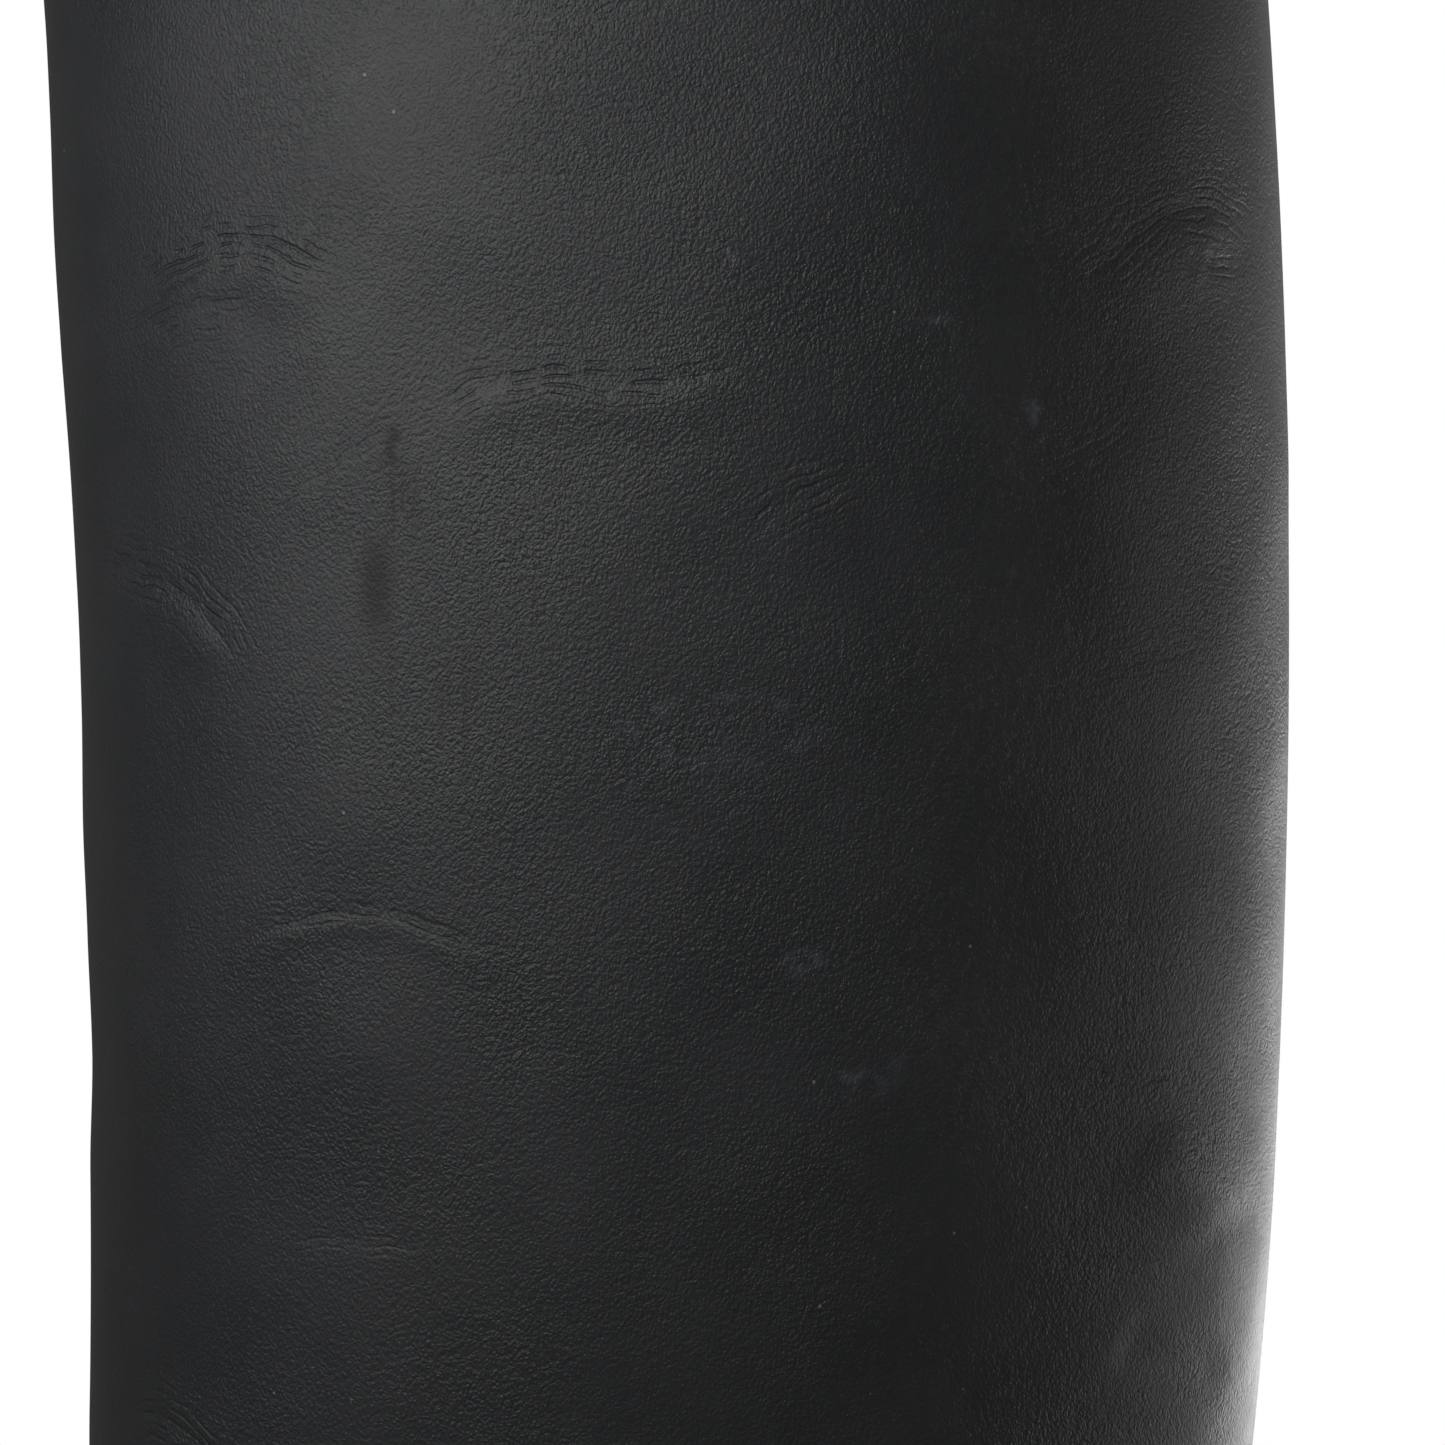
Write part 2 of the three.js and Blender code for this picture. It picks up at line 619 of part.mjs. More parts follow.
// The pull hangs plumb from a bar through the slider's arch.
function pull() {
  const { width, length, thickness, slot, bar } = PULL;
  const reach = archRadius + 0.5;
  const plateBody = box(-width / 2, width / 2, -length, 0, -thickness / 2, thickness / 2);
  const window = box(-slot / 2, slot / 2, -reach, -bar, -thickness, thickness);
  const hole = new THREE.CylinderGeometry(1.6, 1.6, 3 * thickness, 16)
    .rotateX(Math.PI / 2)
    .translate(0, 4.5 - length, 0);
  const rod = new THREE.CylinderGeometry(bar, bar, width, 12).rotateZ(Math.PI / 2);
  const clearBar = box(-slot / 2, slot / 2, -bar, bar, -thickness, thickness);
  const body = solidOf(plateBody)
    .subtract(solidOf(window))
    .subtract(solidOf(hole))
    .subtract(solidOf(clearBar))
    .add(solidOf(rod));
  const pivot = new THREE.Vector3(0, sliderTop - SLIDER.length / 2, axisHeight);
  pivot.applyMatrix4(zipFrame);
  const hang = new THREE.Matrix4().makeBasis(
    new THREE.Vector3(-1, 0, 0),
    new THREE.Vector3(0, 0, 1),
    new THREE.Vector3(0, 1, 0),
  );
  hang.setPosition(pivot);
  add("zip_pull", "metal", geometryFrom(body).applyMatrix4(hang));
  return pivot;
}

// The leather guard behind the zip, which keeps the slider off the leg.
const GUARD = { half: 16, thickness: 1.2, below: 22, deep: ZIP_OPENING + 1.5 };
function zipGuard() {
  const near = legLiningOuter - LINING - GAP;
  const far = tapeMiddle - plateTop - 0.5;
  const offset = (a) => (Math.abs(lerp(-GUARD.half, GUARD.half, a)) < GUARD.deep ? far : near);
  return layer({
    columns: [0, 0.15, 0.25, 0.38, 0.5, 0.62, 0.75, 0.85, 1],
    rows: steps(10),
    place: (a, b) => {
      const t = lerp(zipBottom - 0.3, belowTop(zipTurn(TOP), GUARD.below), b);
      return [zipTurn(t, lerp(-GUARD.half, GUARD.half, a)), t];
    },
    inner: (a) => offset(a) - GUARD.thickness,
    outer: offset,
  });
}

// ---- binding folded over the top line ----
const BINDING = 11; // its depth
function topBinding() {
  const [outer, inner] = [GAP, legLiningOuter - LINING - 2 * GAP];
  const skin = 0.9;
  const corners = (u) => [
    shifted(u, belowTop(u, BINDING), inner - skin),
    shifted(u, belowTop(u, BINDING), inner),
    shifted(u, TOP, inner, GAP),
    shifted(u, TOP, outer, GAP),
    shifted(u, belowTop(u, BINDING), outer),
    shifted(u, belowTop(u, BINDING), outer + skin),
    shifted(u, TOP, outer + skin, GAP),
    shifted(u, TOP, outer + skin * 0.3, GAP + skin),
    shifted(u, TOP, inner - skin * 0.3, GAP + skin),
    shifted(u, TOP, inner - skin, GAP),
  ];
  const start = zipTurn(TOP, ZIP_OPENING + 0.8) - 1;
  const end = zipTurn(TOP, -ZIP_OPENING - 0.8);
  const rings = steps(44).map((a) => corners(lerp(start, end, a)));
  const cap = [
    [0, 1, 2],
    [0, 2, 9],
    [2, 3, 8],
    [2, 8, 9],
    [3, 7, 8],
    [3, 6, 7],
    [3, 4, 6],
    [4, 5, 6],
  ];
  return loft(rings, false, cap);
}

// ---- sole ----
// The sole's edge: the feather line moved outward in plan.
function edgeAt(u, out) {
  const p = surface(u, 0);
  const d = 1e-3;
  const along = surface(u + d, 0).sub(surface(u - d, 0)).setZ(0).normalize();
  return new THREE.Vector3(p.x + along.y * out, p.y - along.x * out, 0);
}
const extension = (u) =>
  lerp(WELT_EXTENSION, HEEL_EXTENSION, smooth((Math.min(u, 1 - u) - 0.25) / 0.2));

// Rings go by turns round the toe and the heel, and by distance along the sides.
const TOE_TURN = 0.2;
const HEEL_TURN = 0.42;
const stations = turns(surface(TOE_TURN, 0).x, surface(HEEL_TURN, 0).x, 28);
const wholeFoot = [
  ...turns(0, TOE_TURN, 8).slice(0, -1),
  ...stations.map((x) => turnAt(0, x)),
  ...turns(HEEL_TURN, 0.5, 7).slice(1),
];

// A slab of sole between two drops below the insole line, across the outline from turn `from` to the
// heel's back, or forward from the back to the toe.
function slab(list, out, top, bottom, across = 3) {
  const point = (u, share, drop) => {
    const outer = edgeAt(u, out(u));
    const inner = edgeAt(1 - u, out(1 - u));
    const p = outer.lerp(inner, share);
    p.z = drop(p.x);
    return p;
  };
  const rings = list.map((u) => [
    ...turns(0, 1, across).map((s) => point(u, s, top)),
    ...turns(1, 0, across).map((s) => point(u, s, bottom)),
  ]);
  const m = across + 1;
  const cap = [];
  for (let j = 0; j < across; j++)
    cap.push([j, j + 1, 2 * m - 2 - j], [j, 2 * m - 2 - j, 2 * m - 1 - j]);
  return closeTips(loft(rings, false, cap));
}

// Drops the triangles that collapse where an outline comes to its tip.
function closeTips(geometry) {
  const merged = mergeVertices(geometry, 1e-3);
  const kept = [];
  const index = merged.index.array;
  for (let i = 0; i < index.length; i += 3) {
    const [a, b, c] = [index[i], index[i + 1], index[i + 2]];
    if (a !== b && b !== c && a !== c) kept.push(a, b, c);
  }
  merged.setIndex(kept);
  return merged;
}

const below = (drop) => (x) => seat(x) - drop;

function shankShape(clear) {
  const { length, width, thickness } = SHANK;
  const back = -0.24 * LAST_LENGTH;
  const rings = steps(8).map((a) => {
    const x = back - length * a + clear * (1 - 2 * a);
    const half = width / 2 + clear;
    const top = seat(x) - GAP + (clear ? 1 : -GAP);
    const low = seat(x) - 2 * GAP - thickness - clear;
    const middle = 3;
    return [
      new THREE.Vector3(x, middle - half, low),
      new THREE.Vector3(x, middle + half, low),
      new THREE.Vector3(x, middle + half, top),
      new THREE.Vector3(x, middle - half, top),
    ];
  });
  return loft(rings, false, [
    [0, 1, 2],
    [0, 2, 3],
  ]);
}

function welt() {
  const back = wholeFoot.slice(1, -1).reverse();
  const rings = [...wholeFoot, ...back.map((u) => 1 - u)].map((u) => {
    const outer = edgeAt(u, extension(u));
    const inner = edgeAt(u, extension(u) - WELT_WIDTH);
    const at = (p, drop) => new THREE.Vector3(p.x, p.y, seat(p.x) - drop);
    return [at(outer, GAP + WELT), at(outer, GAP), at(inner, GAP), at(inner, GAP + WELT)];
  });
  return loft(rings, true);
}

// Heel layers, from the top piece on the floor up to the outsole.
const NAILS = [
  [-12, 0],
  [-22, -20],
  [-22, 20],
  [-50, -20],
  [-50, 20],
];
const layerHeight = (HEEL_SEAT - BALL_SEAT - TOP_PIECE) / LIFTS;
const breast = turnAt(0, -HEEL_LENGTH);

function nail(x, y, radius, low, high) {
  return new THREE.CylinderGeometry(radius, radius, high - low, 8)
    .rotateX(Math.PI / 2)
    .translate(x, y, (low + high) / 2);
}

function heelLayer(number) {
  const low = number === 0 ? 0 : TOP_PIECE + (number - 1) * layerHeight;
  const high = number === 0 ? TOP_PIECE - GAP : low + layerHeight - GAP;
  const smaller = HEEL_TAPER * (LIFTS + 1 - number);
  const out = (u) => extension(u) - smaller;
  const shape = slab(turns(breast, 0.5, 12), out, () => high, () => low, 2);
  let solid = solidOf(shape);
  for (const [x, y] of NAILS)
    solid = solid.subtract(solidOf(nail(x, y, NAIL_RADIUS + GAP, low - 1, high + 1)));
  return geometryFrom(solid);
}

// ---- put together ----
add("vamp", "leather", vamp());
add("shaft_outer_panel", "leather", panel(frontEdge, -10));
add("shaft_inner_panel", "leather", panel(backEdge, 29));
add("counter_cover", "leather", counterCover());
add("back_strip", "leather", backStrip());
add("top_binding", "leather", topBinding());
add("toe_puff", "stiffener", toePuff());
add("heel_counter", "stiffener", heelCounter());
add("foot_lining", "lining", footLining());
add("shaft_lining", "lining", legLining());
zip();
slider();
const pullPivot = pull();
add("zip_guard", "leather", zipGuard());
add(
  "insole_board",
  "board",
  slab(wholeFoot, constant(-SEAM_ALLOWANCE), below(-INSOLE), below(0), 2),
);
add(
  "sock_liner",
  "lining",
  slab(wholeFoot, constant(-SEAM_ALLOWANCE), below(-INSOLE - GAP - SOCK), below(-INSOLE - GAP), 2),
);
add("welt", "sole", welt());
const filler = slab(
  wholeFoot,
  (u) => extension(u) - WELT_WIDTH - GAP,
  below(GAP),
  below(GAP + WELT),
  2,
);
add("cork_filler", "cork", geometryFrom(solidOf(filler).subtract(solidOf(shankShape(GAP)))));
add("shank", "metal", shankShape(0));
const underWelt = 2 * GAP + WELT;
add(
  "outsole",
  "sole",
  slab(wholeFoot, extension, below(underWelt), below(underWelt + OUTSOLE), 4),
);
for (let i = LIFTS; i >= 1; i--) add(`heel_lift_${i}`, "sole", heelLayer(i));
add("heel_top_piece", "rubber", heelLayer(0));
NAILS.forEach(([x, y], i) =>
  add(
    `heel_nail_${i + 1}`,
    "metal",
    nail(x, y, NAIL_RADIUS, NAIL_HEAD, HEEL_SEAT - BALL_SEAT - GAP),
  ),
);

// The origin goes to the middle of the footprint's box, on the floor.
const extent = new THREE.Box3().setFromObject(boot, true);
const centre = extent.getCenter(new THREE.Vector3());
boot.position.set(-centre.x, -centre.y, 0);
boot.updateMatrixWorld(true);
boot.userData = {
  zipUp: zipUp.toArray(),
  slideLength: sliderTop - SLIDER.length - rowLow,
  pullPivot: pullPivot.clone().add(boot.position).toArray(),
};

const part = new THREE.Group();
part.add(boot);
export default part;
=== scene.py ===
import math

import bpy
import numpy as np
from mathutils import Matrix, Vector


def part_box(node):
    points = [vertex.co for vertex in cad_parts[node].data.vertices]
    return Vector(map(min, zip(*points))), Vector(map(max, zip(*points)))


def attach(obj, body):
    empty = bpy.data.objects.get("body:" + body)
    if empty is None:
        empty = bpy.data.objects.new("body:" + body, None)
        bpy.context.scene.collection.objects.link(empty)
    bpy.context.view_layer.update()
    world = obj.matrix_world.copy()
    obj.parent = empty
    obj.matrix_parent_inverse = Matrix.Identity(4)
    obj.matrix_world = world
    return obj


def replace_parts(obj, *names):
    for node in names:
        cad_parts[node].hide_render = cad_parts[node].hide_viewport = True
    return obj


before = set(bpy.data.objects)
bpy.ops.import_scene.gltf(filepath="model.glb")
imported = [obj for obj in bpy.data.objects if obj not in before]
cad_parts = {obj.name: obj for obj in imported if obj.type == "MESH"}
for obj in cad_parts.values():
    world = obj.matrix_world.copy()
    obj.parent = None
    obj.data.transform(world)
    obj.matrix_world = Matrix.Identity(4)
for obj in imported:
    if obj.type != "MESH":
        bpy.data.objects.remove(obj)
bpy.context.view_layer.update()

MM = 0.001

# ------------------------------------------------------------------ the upper's shape, as in the CAD
# All in millimetres from the heel end of the last: x to the heel, y to the inner side, z up.
LAST_LENGTH = 264
BALL_LATERAL = 48.5
BALL_MEDIAL = 45
CALF_DEPTH = 133.6
CALF_LATERAL = 54
BACK_LINE = 9.4
TOP_HEIGHT = 430
TOP_SLOPE = 6
ANKLE_HEIGHT = 146
HEEL_SEAT = 32
TOE_SPRING = 6
TOE_SWING = 7
GAP = 0.3
LEATHER = 1.6
FEATHER = 0.7
OVERLAY = 1.2
OVERLAY_GAP = 0.55
WELT = 3.0
OUTSOLE = 4.5
TOP_PIECE = 6.0
LIFTS = 4
WELT_EXTENSION = 7
HEEL_EXTENSION = 5.5
WELT_WIDTH = 13
HEEL_LENGTH = 70
HEEL_TAPER = 0.8
ZIP_X = -62
ZIP_BOTTOM = 90
ZIP_BOTTOM_Y = 38.1
ZIP_TOP_Y = 53
ZIP_OPENING = 7.5
VAMP_LEVEL = 5.7
VAMP_TURN = 0.3
SEAM = 1.4
BACK_SEAM = 0.0006
COVER_TURN = 5 / 48
COUNTER_LEVEL = 3.3
BINDING = 11
LINING_OUT = -2.9  # outside of the leg's lining
FOOT_LINING_OUT = -3.7
LINING = 1.0
CALF_GIRTH = 385

BALL_SEAT = OUTSOLE + WELT + 2 * GAP
CALF_FRONT = BACK_LINE - CALF_DEPTH
ANKLE_FRONT = CALF_FRONT - 5.5
BALL_X = -0.7 * LAST_LENGTH


def lerp(a, b, s):
    return a + (b - a) * s


def smooth(s):
    c = np.clip(s, 0, 1)
    return c * c * (3 - 2 * c)


def leg_height(share):
    return lerp(ANKLE_HEIGHT, TOP_HEIGHT, share)


def inner_side(z):
    return lerp(ZIP_BOTTOM_Y, ZIP_TOP_Y, (z - ZIP_BOTTOM) / (TOP_HEIGHT - ZIP_BOTTOM))


def seat(x):
    """Height of the insole along the foot."""
    s = -x / LAST_LENGTH
    spring = np.maximum(0, (s - 0.78) / 0.22) ** 2
    return lerp(HEEL_SEAT, BALL_SEAT, smooth((s - 0.27) / 0.33)) + TOE_SPRING * spring


# What a level holds: x and z of its front and back ends, its half widths to the outer and inner side,
# the x of its widest place, its squareness in front of and behind that, and how far the waist draws in.
KEYS = ("xf", "zf", "xb", "zb", "lateral", "medial", "xw", "nf", "nb", "waist")


def foot_level(front, rise, back, heel_rise, lateral, medial, widest, nf, nb, waist):
    ends = (lerp(ANKLE_FRONT, -LAST_LENGTH, front), BALL_SEAT + rise, back, HEEL_SEAT + heel_rise)
    return *ends, BALL_LATERAL * lateral, BALL_MEDIAL * medial, lerp(ZIP_X, BALL_X, widest), nf, nb, waist


def leg_level(share, front, back, lateral, nf, nb, slope=0):
    z = leg_height(share)
    ends = (CALF_FRONT + front, z + slope, BACK_LINE + back, z - slope)
    return *ends, CALF_LATERAL * lateral, inner_side(z), ZIP_X, nf, nb, 0


LEVELS = [
    foot_level(0.984, TOE_SPRING + FEATHER, -2, FEATHER, 0.91, 0.91, 1, 2.3, 2.7, 1),
    foot_level(1.012, 18, 0.5, 14, 1, 1, 1, 2.3, 2.7, 1),
    foot_level(0.97, 29, 1.5, 29, 0.99, 0.99, 0.957, 2.2, 2.6, 0.9),
    foot_level(0.837, 38.5, 0, 43, 0.93, 0.95, 0.72, 2.1, 2.5, 0.6),
    foot_level(0.626, 50, -3, 56, 0.855, 0.905, 0.355, 2, 2.4, 0.25),
    foot_level(0.4, 67, -6, 69, 0.815, 0.868, 0.108, 1.95, 2.3, 0),
    foot_level(0.223, 89, -7.5, 82, 0.795, 0.866, 0, 1.9, 2.2, 0),
    foot_level(0.082, 114, -7.5, 97, 0.8, 0.885, 0, 1.9, 2.1, 0),
    leg_level(0, -5.5, -14.5, 0.765, 1.95, 2.05),
    leg_level(0.105, -0.2, -9.8, 0.82, 2, 2.05),
    leg_level(0.23, 1.9, -4.3, 0.89, 2, 2.05),
    leg_level(0.37, 2.3, -1.2, 0.95, 2.05, 2.05),
    leg_level(0.57, 0.2, 0.4, 1.0, 2.05, 2.05),
    leg_level(0.79, -3.8, -1.4, 1.005, 2.1, 2.1, TOP_SLOPE / 3),
    leg_level(1, -8.8, -6.6, 0.985, 2.1, 2.1, TOP_SLOPE),
]
TOP = len(LEVELS) - 1
ROWS = np.array(LEVELS, float)
PADDED = dict(zip(KEYS, np.vstack([2 * ROWS[0] - ROWS[1], ROWS, 2 * ROWS[-1] - ROWS[-2]]).T))


def level(t, key):
    """Uniform cubic B-spline through the levels' values."""
    k = np.clip(np.floor(t).astype(int), 0, TOP - 1)
    f = t - k
    v = PADDED[key]
    return (
        v[k] * (1 - f) ** 3
        + v[k + 1] * (3 * f**3 - 6 * f * f + 4)
        + v[k + 2] * (-3 * f**3 + 3 * f * f + 3 * f + 1)
        + v[k + 3] * f**3
    ) / 6


def surface(u, t):
    """Points of the upper's outside at turns u and levels t, in millimetres."""
    u, t = np.broadcast_arrays(np.asarray(u, float), np.asarray(t, float))
    c = np.cos(2 * math.pi * u)
    s = np.sin(2 * math.pi * u)
    xf, xb, xw = level(t, "xf"), level(t, "xb"), level(t, "xw")
    middle = (xw - xf) / (xb - xf)
    n = np.where(c > 0, level(t, "nf"), level(t, "nb"))
    away = np.abs(c) ** (2 / n)
    share = np.where(c > 0, middle * (1 - away), middle + (1 - middle) * away)
    x = lerp(xf, xb, share)
    toe, heel = LEVELS[0][KEYS.index("xf")], LEVELS[0][KEYS.index("xb")]
    sag = seat(lerp(toe, heel, share)) - lerp(seat(toe), seat(heel), share)
    z = lerp(level(t, "zf"), level(t, "zb"), share) + sag * (1 - smooth(t / 6))
    half = np.where(s > 0, level(t, "lateral"), level(t, "medial"))
    pinch = level(t, "waist") * np.where(s > 0, 4, 9)
    waist = pinch * np.exp(-(((x + 0.45 * LAST_LENGTH) / (0.14 * LAST_LENGTH)) ** 2))
    width = (half - waist) * np.abs(s) ** (2 / n)
    swing = TOE_SWING * np.maximum(0, (-x / LAST_LENGTH - 0.55) / 0.45) ** 2
    return np.stack([x, swing - np.sign(s) * width, z], -1)


def unit(v):
    return v / np.maximum(np.linalg.norm(v, axis=-1, keepdims=True), 1e-9)


def normal(u, t):
    d = 1e-3
    along = surface(u + d, t) - surface(u - d, t)
    low = np.clip(t - d, 0, TOP - 2 * d)
    up = surface(u, low + 2 * d) - surface(u, low)
    return unit(np.cross(along, up))


def shifted(u, t, out):
    """Points `out` mm outside the surface; at the sole the offset is level."""
    u, t = np.broadcast_arrays(np.asarray(u, float), np.asarray(t, float))
    n = normal(u, t)
    n[..., 2] *= smooth(t / 0.6)
    return surface(u, t) + unit(n) * np.asarray(out, float)[..., None]


def turn_at(t, x):
    """The turn on the outer side at which a level passes x."""
    t = np.asarray(t, float)
    xf, xb = level(t, "xf"), level(t, "xb")
    middle = (level(t, "xw") - xf) / (xb - xf)
    share = (x - xf) / (xb - xf)
    front = share < middle
    n = np.where(front, level(t, "nf"), level(t, "nb"))
    away = np.where(front, 1 - share / middle, (share - middle) / (1 - middle))
    turn = np.arccos(np.clip(away, 0, 1) ** (n / 2)) / (2 * math.pi)
    return np.where(front, turn, 0.5 - turn)


def zip_turn(t, forward=0.0):
    return 1 - turn_at(t, ZIP_X - forward)


def per_level(u, t):
    low, high = np.clip(t - 0.05, 0, TOP), np.clip(t + 0.05, 0, TOP)
    return np.linalg.norm(surface(u, high) - surface(u, low), axis=-1) / (high - low)


def below_top(u, depth):
    return TOP - depth / per_level(u, np.full(np.shape(u), float(TOP)))


def zip_bottom_level():
    low, high = 0.0, float(TOP)
    for _ in range(40):
        mid = (low + high) / 2
        if surface(zip_turn(mid), mid)[2] < ZIP_BOTTOM:
            low = mid
        else:
            high = mid
    return low


ZIP_LOW = zip_bottom_level()
LINING_LEVEL = ZIP_LOW - 1.25

# The first heel nail stands on the last's middle line, this far in front of its heel end.
NAIL_IN = 12
nail_low, nail_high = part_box("heel_nail_1")
nail = (np.array(nail_low) + np.array(nail_high)) / 2 / MM
SHIFT = np.array([nail[0] + NAIL_IN, nail[1], 0])


def to_row(points):
    """From the last's millimetres to the frame's metres."""
    return (points + SHIFT) * MM


# ------------------------------------------------------------------ meshes
def make(name, vertices, faces, finish, body="boot", flat=False):
    """A piece from its points, in the frame's metres, riding on `body`."""
    mesh = bpy.data.meshes.new(name)
    mesh.from_pydata([tuple(v) for v in vertices], [], faces)
    mesh.update()
    piece = bpy.data.objects.new(name, mesh)
    bpy.context.scene.collection.objects.link(piece)
    slot, paint = FINISHES[finish]
    mesh.materials.append(paint)
    mesh.polygons.foreach_set("use_smooth", [not flat] * len(mesh.polygons))
    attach(piece, body)
    return piece


SEAT_LEVELS = 0.12  # up to this level, skins come down by FEATHER to sit on the welt


def seated(points, t):
    points[..., 2] -= FEATHER * (1 - smooth(t / SEAT_LEVELS))
    return points


def shell(name, u, t, outer, inner, finish, step=4):
    """A closed skin over the surface. u, t and outer are grids with columns round the leg first; the inside,
    at the offset `inner`, is `step` times coarser, and its border polygons share the rim's corners."""
    m, n = u.shape
    out_points = to_row(seated(shifted(u, t, outer), t)).reshape(-1, 3)
    in_points = to_row(seated(shifted(u, t, inner), t)).reshape(-1, 3)
    index = np.arange(m * n).reshape(m, n)
    quads = np.stack([index[:-1, :-1], index[1:, :-1], index[1:, 1:], index[:-1, 1:]], -1)
    faces = quads.reshape(-1, 4).tolist()
    border = np.concatenate([index[:, 0], index[-1, 1:], index[-2::-1, -1], index[0, -2:0:-1]])
    columns = list(range(0, m - 1, step)) + [m - 1]
    rows = list(range(0, n - 1, step)) + [n - 1]
    used = np.zeros(m * n, bool)
    used[border] = True
    used[index[np.ix_(columns, rows)].ravel()] = True
    slot = np.full(m * n, -1)
    slot[used] = m * n + np.arange(used.sum())
    for k, a in enumerate(border):
        b = border[(k + 1) % len(border)]
        faces.append((a, slot[a], slot[b], b))
    for c0, c1 in zip(columns, columns[1:]):
        for r0, r1 in zip(rows, rows[1:]):
            low = index[c0 : c1 + 1, r0] if r0 == 0 else index[[c0, c1], r0]
            right = index[c1, r0 : r1 + 1] if c1 == m - 1 else index[c1, [r0, r1]]
            high = index[c0 : c1 + 1, r1] if r1 == n - 1 else index[[c0, c1], r1]
            left = index[c0, r0 : r1 + 1] if c0 == 0 else index[c0, [r0, r1]]
            ring = [*low[:-1], *right[:-1], *high[:0:-1], *left[:0:-1]]
            faces.append(tuple(slot[v] for v in reversed(ring)))
    points = np.vstack([out_points, in_points[used]])
    return make(name, points, [[int(v) for v in f] for f in faces], finish)


def tubes(count, rings, corners):
    """The faces of capped tubes, whose points come in the order of tube, ring and corner."""
    index = np.arange(count * rings * corners).reshape(count, rings, corners)
    beside = np.roll(index, -1, 2)
    sides = np.stack([index[:, :-1], beside[:, :-1], beside[:, 1:], index[:, 1:]], -1)
    return sides.reshape(-1, 4).tolist() + index[:, 0, ::-1].tolist() + index[:, -1].tolist()


def spread(stops):
    """A rising list of values: each stop is (value, spacing from there to the next)."""
    values = []
    for (a, spacing), (b, _) in zip(stops, stops[1:]):
        count = max(1, round((b - a) / spacing))
        values += [a + (b - a) * i / count for i in range(count)]
    return np.array(values + [stops[-1][0]])


def loft(name, rings, finish, closed=False):
    """A solid from rings of points, in metres, each with the same number of corners."""
    rings = np.asarray(rings, float)
    count, corners = rings.shape[:2]
    faces = []
    for i in range(count if closed else count - 1):
        k = (i + 1) % count
        for j in range(corners):
            jn = (j + 1) % corners
            faces.append((i * corners + j, k * corners + j, k * corners + jn, i * corners + jn))
    if not closed:
        faces.append(tuple(range(corners)))
        faces.append(tuple(range(count * corners - 1, (count - 1) * corners - 1, -1)))
    return make(name, rings.reshape(-1, 3), faces, finish)


# ------------------------------------------------------------------ materials
SPOT_DEPTH = 0.05  # how far in from the calf a spot still marks the leather


